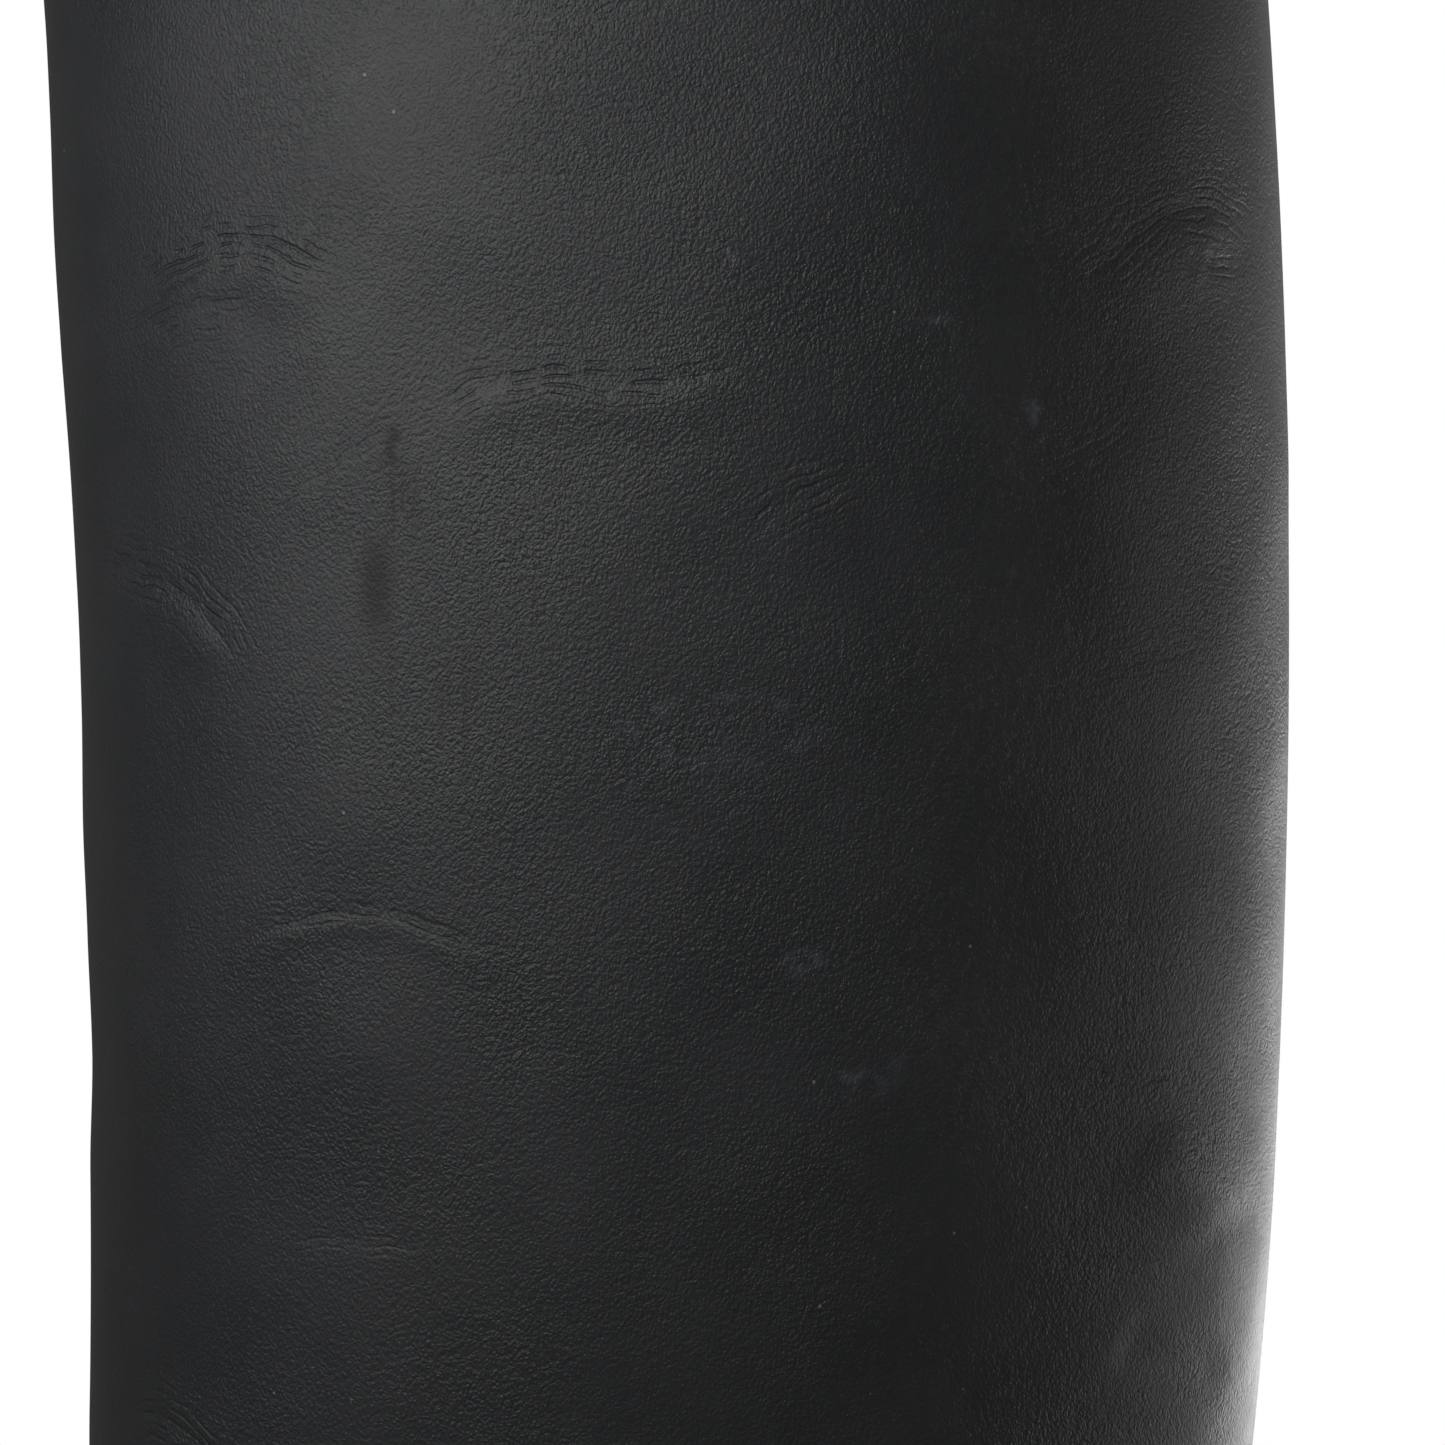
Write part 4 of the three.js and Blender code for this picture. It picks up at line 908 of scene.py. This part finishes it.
def counter_cover():
    u1 = spread([(0.5 - COVER_TURN, 0.0022), (0.5 + COVER_TURN, 0)])
    b1 = np.concatenate([np.linspace(0, 0.97, 60), [0.985, 0.994, 1]])
    u, b = np.meshgrid(u1, b1, indexing="ij")
    drop = rounded(u, True, True, False, True)
    piece = shell("counter_leather", u, b * cover_top(u), OVERLAY_GAP + OVERLAY - drop, 0.1, "calf", 3)
    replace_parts(piece, "counter_cover")


STRIP_HIGH = 9.4


def strip_grid():
    a, b = np.meshgrid(np.linspace(-1, 1, 23), np.linspace(0, 1, 150), indexing="ij")
    end = np.sqrt(np.maximum(0.04, 1 - np.maximum(0, (b - 0.9) / 0.1) ** 2))
    u = 0.5 + lerp(0.021, 0.013, b) * end * a
    return u, lerp(cover_top(u) + 0.06, STRIP_HIGH, b)


def back_strip():
    u, t = strip_grid()
    drop = rounded(u, True, True, True, True)
    piece = shell("back_strip_leather", u, t, OVERLAY_GAP + OVERLAY - drop, 0.1, "calf", 3)
    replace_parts(piece, "back_strip")


def binding():
    """Folded over the top line: a flat band outside and inside, rolled round the top."""
    inner, skin = LINING_OUT - LINING - 2 * GAP, 0.9
    outside = GAP + skin
    mid, radius = (outside + inner - skin) / 2, (outside - inner + skin) / 2
    start, end = zip_turn(float(TOP), ZIP_OPENING + 0.8) - 1, zip_turn(float(TOP), -ZIP_OPENING - 0.8)
    u = np.linspace(start, end, 260)
    low = below_top(u, BINDING)
    top = np.full(u.shape, float(TOP))
    section = []

    def bands(*rows):
        for share, offset in rows:
            section.append(shifted(u, lerp(low, top, share), np.full(u.shape, offset)))

    bands((0, outside - 0.6), (0.02, outside - 0.2), *((k, outside) for k in (0.06, 0.2, 0.4, 0.6, 0.8, 1)))
    for angle in np.linspace(0, math.pi, 13)[1:-1]:
        p = shifted(u, top, np.full(u.shape, mid + radius * math.cos(angle)))
        p[:, 2] += (GAP + skin) * math.sin(angle) ** 0.8
        section.append(p)
    bands(*((k, inner - skin) for k in (1, 0.7, 0.4, 0.1, 0)))
    bands((0, inner), (1, inner), (1, GAP), (0, GAP))
    rings = to_row(np.stack(section, 1))
    piece = loft("top_binding_leather", rings[::-1], "calf")
    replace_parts(piece, "top_binding")


def linings():
    u, t = np.meshgrid(np.linspace(0, 1, 181)[::-1], np.linspace(0.02, LINING_LEVEL, 50), indexing="ij")
    wavy = 0.15 * soft_noise(np.stack([u.ravel() * 300, t.ravel() * 20], -1), 15, 12).reshape(u.shape)
    wavy *= np.sin(math.pi * u) ** 2
    foot = shell("foot_lining_leather", u, t, FOOT_LINING_OUT - LINING + wavy, FOOT_LINING_OUT, "lining")
    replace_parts(foot, "foot_lining")
    side = ZIP_OPENING + 1
    a, b = np.meshgrid(np.linspace(0, 1, 170), np.linspace(0, 1, 150), indexing="ij")
    t = lerp(LINING_LEVEL + 0.06, TOP, b)
    u = lerp(zip_turn(t, side) - 1, zip_turn(t, -side), a)
    wavy = 0.25 * soft_noise(np.stack([u.ravel() * CALF_GIRTH, t.ravel() * 28], -1), 22, 14).reshape(u.shape)
    wavy *= smooth((TOP - t) / 0.5)
    outer = (LINING_OUT - LINING + wavy)[::-1]
    leg = shell("leg_lining_leather", u[::-1], t[::-1], outer, LINING_OUT, "lining")
    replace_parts(leg, "shaft_lining")


# ------------------------------------------------------------------ the zip
TAPE = 0.6
TAPE_WIDTH = 11
TOOTH_IN = 0.5
TOOTH_OUT = 3.0
TOOTH_HALF = 1.2
TOOTH_PITCH = 2.7
STOP_LENGTH = 3.5
STOP_SPACE = 0.4
TAPE_OUT = -LEATHER - GAP
TAPE_MIDDLE = TAPE_OUT - TAPE / 2


def offset_turn(t, forward, out):
    guess = np.broadcast_to(np.asarray(forward, float), np.shape(t)).copy()
    for _ in range(4):
        u = zip_turn(t, guess)
        guess = guess + shifted(u, t, np.full(np.shape(u), out))[..., 0] - (ZIP_X - forward)
    return zip_turn(t, guess)


TAPE_TOP = float(below_top(zip_turn(float(TOP)), 6))
ends = np.array([ZIP_LOW, TAPE_TOP])
zip_ends = shifted(offset_turn(ends, 0.0, TAPE_MIDDLE), ends, np.full(2, TAPE_MIDDLE))
ZIP_UP = unit(zip_ends[1] - zip_ends[0])
ZIP_ACROSS = np.array([-1.0, 0, 0])
ZIP_OUT = np.cross(ZIP_ACROSS, ZIP_UP)
ZIP_LENGTH = float(np.linalg.norm(zip_ends[1] - zip_ends[0]))


def on_zip(points):
    """From (across, up, out) in mm at the zip's lower end to the frame."""
    p = np.asarray(points, float)
    return to_row(zip_ends[0] + p[..., :1] * ZIP_ACROSS + p[..., 1:2] * ZIP_UP + p[..., 2:] * ZIP_OUT)


def pillow(across, up, out, bevel):
    """The rings of a small block with bevelled edges, from its ranges in the zip's directions."""
    rings = []
    for depth, inset in ((0, bevel), (bevel, 0), (1 - bevel, 0), (1, bevel)):
        z, c = lerp(out[0], out[1], depth), bevel
        x0, x1, y0, y1 = across[0] + inset, across[1] - inset, up[0] + inset, up[1] - inset
        rings.append([
            (x0 + c, y0, z), (x1 - c, y0, z), (x1, y0 + c, z), (x1, y1 - c, z),
            (x1 - c, y1, z), (x0 + c, y1, z), (x0, y1 - c, z), (x0, y0 + c, z),
        ])
    return np.array(rings)


def blocks(name, pillows, finish):
    """One piece from many pillows."""
    pillows = np.array(pillows)
    return make(name, on_zip(pillows.reshape(-1, 3)), tubes(*pillows.shape[:3]), finish, flat=True)


def zip_pieces():
    low, high = STOP_LENGTH + STOP_SPACE, ZIP_LENGTH - STOP_LENGTH - STOP_SPACE
    for name, side in (("front", 1), ("back", -1)):
        shift = 0 if side > 0 else TOOTH_PITCH / 2
        teeth = []
        for y in np.arange(low + shift + 0.1, high - 1.5, TOOTH_PITCH):
            across = sorted((side * 0.42, side * TOOTH_OUT))
            teeth.append(pillow(across, (y, y + 1.45), (-TOOTH_HALF, TOOTH_HALF), 0.22))
            neck = sorted((side * (TOOTH_OUT - 0.9), side * (TOOTH_OUT + 0.7)))
            teeth.append(pillow(neck, (y + 0.2, y + 1.25), (-TOOTH_HALF + 0.25, TOOTH_HALF - 0.25), 0.15))
        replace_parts(blocks(f"teeth_{name}", teeth, "nickel"), f"zip_teeth_{name}")
        top = pillow(
            sorted((side * TOOTH_IN, side * TOOTH_OUT)),
            (ZIP_LENGTH - STOP_LENGTH, ZIP_LENGTH),
            (-TOOTH_HALF - 0.2, TOOTH_HALF + 0.2),
            0.35,
        )
        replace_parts(blocks(f"top_stop_{name}", [top], "nickel"), f"zip_top_stop_{name}")
        a, t = np.meshgrid(np.linspace(0, 1, 14), np.linspace(ZIP_LOW + 0.02, TAPE_TOP, 190), indexing="ij")
        forward = side * lerp(TOOTH_OUT + GAP, TOOTH_OUT + GAP + TAPE_WIDTH, a if side > 0 else 1 - a)
        u = offset_turn(t, forward, TAPE_MIDDLE)
        cord = 0.35 * np.exp(-((np.abs(forward) - TOOTH_OUT - GAP - 0.5) / 0.5) ** 2)
        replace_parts(shell(f"tape_{name}", u, t, TAPE_OUT + cord, TAPE_OUT - TAPE, "tape"), f"zip_tape_{name}")
    bottom = pillow((-TOOTH_OUT, TOOTH_OUT), (0, STOP_LENGTH), (-TOOTH_HALF - 0.2, TOOTH_HALF + 0.2), 0.4)
    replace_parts(blocks("bottom_stop", [bottom], "nickel"), "zip_bottom_stop")


def bevelled(node, name, width, finish, body):
    """The CAD's own solid, with its edges rounded."""
    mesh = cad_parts[node].data.copy()
    mesh.shade_flat()
    piece = bpy.data.objects.new(name, mesh)
    bpy.context.scene.collection.objects.link(piece)
    weld = piece.modifiers.new("weld", "WELD")
    weld.merge_threshold = 1e-6
    merged = piece.modifiers.new("merged", "DECIMATE")
    merged.decimate_type = "DISSOLVE"
    merged.angle_limit = math.radians(1)
    bevel = piece.modifiers.new("bevel", "BEVEL")
    bevel.width = width
    bevel.segments = 3
    bevel.limit_method = "ANGLE"
    bevel.angle_limit = math.radians(35)
    bevel.use_clamp_overlap = True
    depsgraph = bpy.context.evaluated_depsgraph_get()
    final = bpy.data.meshes.new_from_object(piece.evaluated_get(depsgraph))
    piece.modifiers.clear()
    piece.data = final
    final.materials.clear()
    slot, paint = FINISHES[finish]
    final.materials.append(paint)
    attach(piece, body)
    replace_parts(piece, node)
    return piece


def guard():
    near, far = LINING_OUT - LINING - GAP, TAPE_MIDDLE - 2.8 - 0.5
    a, b = np.meshgrid(np.linspace(-16, 16, 49), np.linspace(0, 1, 150), indexing="ij")
    t = lerp(ZIP_LOW - 0.3, float(below_top(zip_turn(float(TOP)), 22)), b)
    offset = lerp(far, near, smooth((np.abs(a) - ZIP_OPENING - 1.2) / 2.5))
    u = zip_turn(t, a)
    piece = shell("zip_guard_leather", u[::-1], t[::-1], (offset - 1.2)[::-1], offset[::-1], "calf", 4)
    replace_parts(piece, "zip_guard")


# ------------------------------------------------------------------ the sole
def edge_at(u, out):
    """The feather line moved outwards in plan; its height is the sole's own."""
    p = surface(u, np.zeros(np.shape(u)))
    d = 1e-3
    along = surface(u + d, np.zeros(np.shape(u))) - surface(u - d, np.zeros(np.shape(u)))
    along[..., 2] = 0
    along = unit(along)
    p[..., 0] += along[..., 1] * out
    p[..., 1] -= along[..., 0] * out
    return p


def extension(u):
    return lerp(WELT_EXTENSION, HEEL_EXTENSION, smooth((np.minimum(u, 1 - u) - 0.25) / 0.2))


def outline_turns(count):
    """Turns round the sole, evenly far apart along its edge."""
    u = np.linspace(0, 1, 4001)
    p = edge_at(u, extension(u))[:, :2]
    along = np.concatenate([[0], np.cumsum(np.linalg.norm(np.diff(p, axis=0), axis=1))])
    return np.interp(np.linspace(0, along[-1], count, endpoint=False), along, u), along[-1]


def plate(name, u, out, top, bottom, rounding, finish, node, cap_end=False):
    """A layer of sole. `rounding` lists (inset, share of the height) from top to bottom. The turns u go
    round the whole outline or, with cap_end, from one end of a straight front edge to the other."""
    rings = []
    for inset, share in rounding:
        p = edge_at(u, out - inset)
        p[:, 2] = lerp(top(p[:, 0]), bottom(p[:, 0]), share)
        rings.append(p)
    rings = to_row(np.stack(rings))
    count, n = rings.shape[:2]
    index = np.arange(count * n).reshape(count, n)
    beside = np.roll(index, -1, 1)
    around = np.stack([index[:-1], index[1:], beside[1:], beside[:-1]], -1)
    faces = around[:, : n - cap_end].reshape(-1, 4).tolist()
    if cap_end:
        faces.append([*index[:, 0].tolist(), *index[::-1, -1].tolist()])
    across = [(n - j - cap_end) % n for j in range(n)]
    for ring, turn in ((0, 1), (count - 1, -1)):
        for j in range((n - 1) // 2):
            corners = dict.fromkeys([j, j + 1, across[j + 1], across[j]])
            faces.append([ring * n + corner for corner in corners][::turn])
    piece = make(name, rings.reshape(-1, 3), faces, finish)
    piece.data.set_sharp_from_angle(angle=math.radians(50))
    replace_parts(piece, node)
    return piece


def below(drop):
    """The height over x that lies this far under the seat."""
    return lambda x: seat(x) - drop


def flat(height):
    """The same height at every x."""
    return lambda x: np.full(x.shape, height)


SOFT_EDGE = [(0.9, 0), (0.3, 0.03), (0.0, 0.18), (0.0, 0.5), (0.0, 0.82), (0.3, 0.97), (0.9, 1)]


WHEEL_PITCH, WHEEL_DEPTH = 1.8, 0.22


def welt():
    """Its upper face is wheeled: pressed across by a fine row of marks along the outer edge."""
    u, length = outline_turns(2400)
    s = np.arange(len(u)) * length / len(u)
    mark = WHEEL_DEPTH * np.maximum(0, np.sin(2 * math.pi * s / WHEEL_PITCH)) ** 0.6
    rows = []
    section = [
        (WELT_WIDTH, WELT, 0), (WELT_WIDTH, 0, 0), (3.6, 0, 0), (3.2, 0.12, 0), (2.7, 0.12, 0),
        (2.3, 0.1, 1), (0.7, 0.15, 1), (0.25, 0.45, 0.5), (0, 1.0, 0), (0, 2.2, 0), (0.3, WELT, 0),
    ]
    for inset, drop, marked in section:
        p = edge_at(u, extension(u) - inset)
        p[:, 2] = seat(p[:, 0]) - GAP - drop - mark * marked
        rows.append(p)
    rings = to_row(np.stack(rows, 1))
    piece = loft("welt_leather", rings, "welt", closed=True)
    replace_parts(piece, "welt")


OUTSOLE_LIFT = 0.2  # how far its top is raised, to close most of the gap under the welt
LAYER_GAP = 0.08
LIFT_EDGE = [(0.25, 0), (0.0, 0.08), (0.0, 0.92), (0.25, 1)]
TOP_PIECE_EDGE = [(0.25, 0), (0, 0.05), (0, 0.9), (0.6, 1)]


def heel_layer(names, number, low, high, edge, finish):
    """Layer `number` of the heel, counted from the top piece at 0, between two heights."""
    breast = float(turn_at(0.0, -HEEL_LENGTH))
    u = np.linspace(breast, 1 - breast, 301)
    out = extension(u) - HEEL_TAPER * (LIFTS + 1 - number)
    plate(names[0], u, out, flat(high - LAYER_GAP), flat(low), edge, finish, names[1], cap_end=True)


def soles():
    u, _ = outline_turns(600)
    under = 2 * GAP + WELT
    top, bottom = below(under - OUTSOLE_LIFT), below(under + OUTSOLE)
    plate("outsole_leather", u, extension(u), top, bottom, SOFT_EDGE, "edge", "outsole")
    layer = (HEEL_SEAT - BALL_SEAT - TOP_PIECE) / LIFTS
    for number in range(LIFTS, 0, -1):
        low = TOP_PIECE + (number - 1) * layer
        names = f"heel_lift_leather_{number}", f"heel_lift_{number}"
        heel_layer(names, number, low, low + layer, LIFT_EDGE, "lift")
    heel_layer(("heel_top_rubber", "heel_top_piece"), 0, 0.0, TOP_PIECE, TOP_PIECE_EDGE, "rubber")


# ------------------------------------------------------------------ stitching
STITCH_SINK = 0.35  # of the strand's radius
SEAM_PITCH, SEAM_LENGTH, SEAM_RADIUS = 2.6, 2.0, 0.33
SEAM_INSETS = (1.8, 4.0)  # of a double row, from the edge
WELT_SEAM = (3.4 * MM, 2.7 * MM, 0.42 * MM)


def stitches(name, path, normals, pitch, length, radius, finish):
    """A row of stitches along a path in the frame, each a short bowed strand sunk at its ends."""
    along = np.concatenate([[0], np.cumsum(np.linalg.norm(np.diff(path, axis=0), axis=1))])
    starts = np.arange(0.5 * pitch, along[-1] - pitch * 0.6, pitch)
    sides, steps = 6, 6
    s = starts[:, None] + np.linspace(0, length, steps)[None, :]
    centre = np.stack([np.interp(s, along, path[:, k]) for k in range(3)], -1)
    out = unit(np.stack([np.interp(s, along, normals[:, k]) for k in range(3)], -1))
    arch = np.sin(np.linspace(0, math.pi, steps)) ** 0.6
    centre = centre + out * (radius * (arch - STITCH_SINK))[None, :, None]
    forward = unit(np.gradient(centre, axis=1))
    across = unit(np.cross(forward, out))
    up = np.cross(across, forward)
    angle = np.linspace(0, 2 * math.pi, sides, endpoint=False)
    taper = np.array([0.45, 0.9, 1, 1, 0.9, 0.45]) * radius
    ring = (
        across[:, :, None, :] * np.cos(angle)[None, None, :, None]
        + up[:, :, None, :] * np.sin(angle)[None, None, :, None]
    )
    points = centre[:, :, None, :] + ring * taper[None, :, None, None]
    faces = [face[::-1] for face in tubes(len(starts), steps, sides)]
    return make(name, points.reshape(-1, 3), faces, finish)


def seam_row(name, u, t, out):
    """Black stitches along a course on the upper, this far above its surface."""
    u, t = np.broadcast_arrays(np.asarray(u, float), np.asarray(t, float))
    path = to_row(shifted(u, t, np.full(u.shape, out)))
    sizes = SEAM_PITCH * MM, SEAM_LENGTH * MM, SEAM_RADIUS * MM
    return stitches(name, path, normal(u, t), *sizes, "thread")


def stitching():
    end = VAMP_TURN * 0.985
    u = np.linspace(-end + 0.01, end - 0.01, 500)
    for number, inside in enumerate(SEAM_INSETS):
        edge = vamp_edge(u)
        t = edge + (VAMP_LAP - inside) / per_level(u, edge)
        seam_row(f"vamp_stitches_{number + 1}", u, t, VAMP_RAISE)
    u = np.linspace(0.5 - COVER_TURN + 0.008, 0.5 + COVER_TURN - 0.008, 300)
    for number, inside in enumerate(SEAM_INSETS):
        t = cover_top(u) - inside / per_level(u, cover_top(u))
        seam_row(f"counter_stitches_{number + 1}", u, t, OVERLAY_GAP + OVERLAY)
    u, t = strip_grid()
    for name, column in (("outer", 4), ("inner", -5)):
        seam_row(f"strip_stitches_{name}", u[column, 3:-4], t[column, 3:-4], OVERLAY_GAP + OVERLAY)
    start, end = zip_turn(float(TOP), ZIP_OPENING + 3) - 1, zip_turn(float(TOP), -ZIP_OPENING - 3)
    u = np.linspace(start, end, 500)
    seam_row("binding_stitches", u, below_top(u, BINDING - 2), GAP + 0.9)
    t = np.linspace(ZIP_LOW - 0.1, float(below_top(0.75, BINDING + 1)), 400)
    for name, side in (("front", 1), ("back", -1)):
        u = zip_turn(t, side * (opening(t) + 2.0))
        seam_row(f"zip_stitches_{name}", u, t, 0.0)
    u, _ = outline_turns(1500)
    u = np.append(u, 1.0)
    path = edge_at(u, extension(u) - 2.9)
    path[:, 2] = seat(path[:, 0]) - GAP - 0.12
    up = np.tile([0.0, 0, 1], (len(u), 1))
    stitches("welt_stitches", to_row(path), up, *WELT_SEAM, "welt thread")


outer_panel()
inner_panel()
vamp()
counter_cover()
back_strip()
binding()
linings()
zip_pieces()
bevelled("zip_slider", "slider_body", 0.28 * MM, "nickel", "slider")
bevelled("zip_pull", "slider_pull", 0.22 * MM, "nickel", "pull")
guard()
welt()
soles()
stitching()

# The pieces that keep their CAD shape, by finish.
CARRIED = {
    "canvas": ("toe_puff", "heel_counter"),
    "board": ("insole_board",),
    "sock": ("sock_liner",),
    "cork": ("cork_filler",),
    "steel": ("shank",),
    "brass": tuple(f"heel_nail_{i}" for i in range(1, 6)),
}
for finish, nodes in CARRIED.items():
    for node in nodes:
        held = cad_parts[node]
        held.data.materials.clear()
        held.data.materials.append(FINISHES[finish][1])


# ------------------------------------------------------------------ the studio
AMBIENT = 0.16  # what the white surroundings give the object, beside the 1.0 that the camera sees of them
FLOOR_RADIUS, FLOOR_HEIGHT, FLOOR_SIDES = 3.8, -0.0002, 96


def studio_floor():
    """A pale disc that fades into the white surroundings."""
    s = Shader("studio floor", Roughness=0.75)
    away = s.vector("LENGTH", s.place, output="Value")
    s.connect("Base Color", s.mix(s.ramp(away, 0.3, 1.6), (0.8, 0.8, 0.8, 1), (0.9, 0.9, 0.9, 1)))
    seen = s.node("ShaderNodeLightPath").outputs["Is Camera Ray"]
    strength = s.ramp(seen, 0, 1, AMBIENT, 1.0)
    glow = s.node("ShaderNodeEmission", {"Color": (1, 1, 1, 1), "Strength": strength})
    fade = s.ramp(away, 0.25, 0.85, 0.5, 1.0)
    output = s.tree.nodes["Material Output"]
    blend = s.node("ShaderNodeMixShader", {0: fade, 1: s.surface.outputs[0], 2: glow.outputs[0]})
    s.tree.links.new(blend.outputs[0], output.inputs[0])
    angle = np.linspace(0, 2 * math.pi, FLOOR_SIDES, endpoint=False)
    rim = [(FLOOR_RADIUS * math.cos(a), FLOOR_RADIUS * math.sin(a), FLOOR_HEIGHT) for a in angle]
    mesh = bpy.data.meshes.new("studio_floor")
    mesh.from_pydata(rim, [], [tuple(range(FLOOR_SIDES))])
    mesh.materials.append(s.material)
    floor = bpy.data.objects.new("studio_floor", mesh)
    bpy.context.scene.collection.objects.link(floor)


# Softboxes: azimuth in degrees (0 is the camera's side, growing towards the heel), height above the
# floor, distance from the leg and side in metres, and watts. The first six stand close together, as one
# curved softbox that lights the leg, then come two pairs behind it with one lamp between, and a fill.
# The watts were fitted to the photo's brightness in a scratch script.
NEAR, BEHIND, FILL = 0.33, 0.78, 0.94
LEG_HEIGHT = 0.36  # what the near softboxes aim at
SOFTBOXES = [
    (-62, 0.38, NEAR, 0.14, 0.21),
    (-62, 0.46, NEAR, 0.14, 0.072),
    (-46, 0.38, NEAR, 0.14, 0.13),
    (-30, 0.38, NEAR, 0.14, 0.046),
    (-30, 0.46, NEAR, 0.14, 0.18),
    (-14, 0.46, NEAR, 0.14, 0.38),
    (104, 0.13, BEHIND, 0.24, 0.8),
    (104, 0.49, BEHIND, 0.35, 0.14),
    (136, 0.13, BEHIND, 0.24, 0.7),
    (152, 0.13, BEHIND, 0.24, 1.2),
    (152, 0.49, BEHIND, 0.35, 0.16),
    (30, 0.64, FILL, 0.4, 0.24),
]


def softbox(name, azimuth, height, away, side, watts):
    a = math.radians(azimuth)
    place = Vector((camera.location.x + away * math.sin(a), -away * math.cos(a), height))
    aim = Vector((camera.location.x, 0, LEG_HEIGHT if away == NEAR else VIEW_HEIGHT))
    data = bpy.data.lights.new(name, "AREA")
    data.shape = "SQUARE"
    data.size = side
    data.energy = watts
    light = bpy.data.objects.new(name, data)
    light.location = place
    light.rotation_mode = "QUATERNION"
    light.rotation_quaternion = (place - aim).to_track_quat("Z", "Y")
    light.visible_camera = False
    bpy.context.scene.collection.objects.link(light)


def surroundings():
    """White behind everything that the camera sees; dimmer where it lights the object."""
    world = bpy.data.worlds.new("studio")
    world.use_nodes = True
    tree = world.node_tree
    background = tree.nodes["Background"]
    seen = tree.nodes.new("ShaderNodeLightPath").outputs["Is Camera Ray"]
    strength = tree.nodes.new("ShaderNodeMapRange")
    tree.links.new(seen, strength.inputs["Value"])
    strength.inputs["To Min"].default_value = AMBIENT
    strength.inputs["To Max"].default_value = 1.0
    background.inputs["Color"].default_value = (1, 1, 1, 1)
    tree.links.new(strength.outputs[0], background.inputs["Strength"])
    bpy.context.scene.world = world


studio_floor()
for number, numbers in enumerate(SOFTBOXES):
    softbox(f"softbox_{number + 1}", *numbers)
surroundings()
bpy.context.scene.view_settings.view_transform = "Standard"
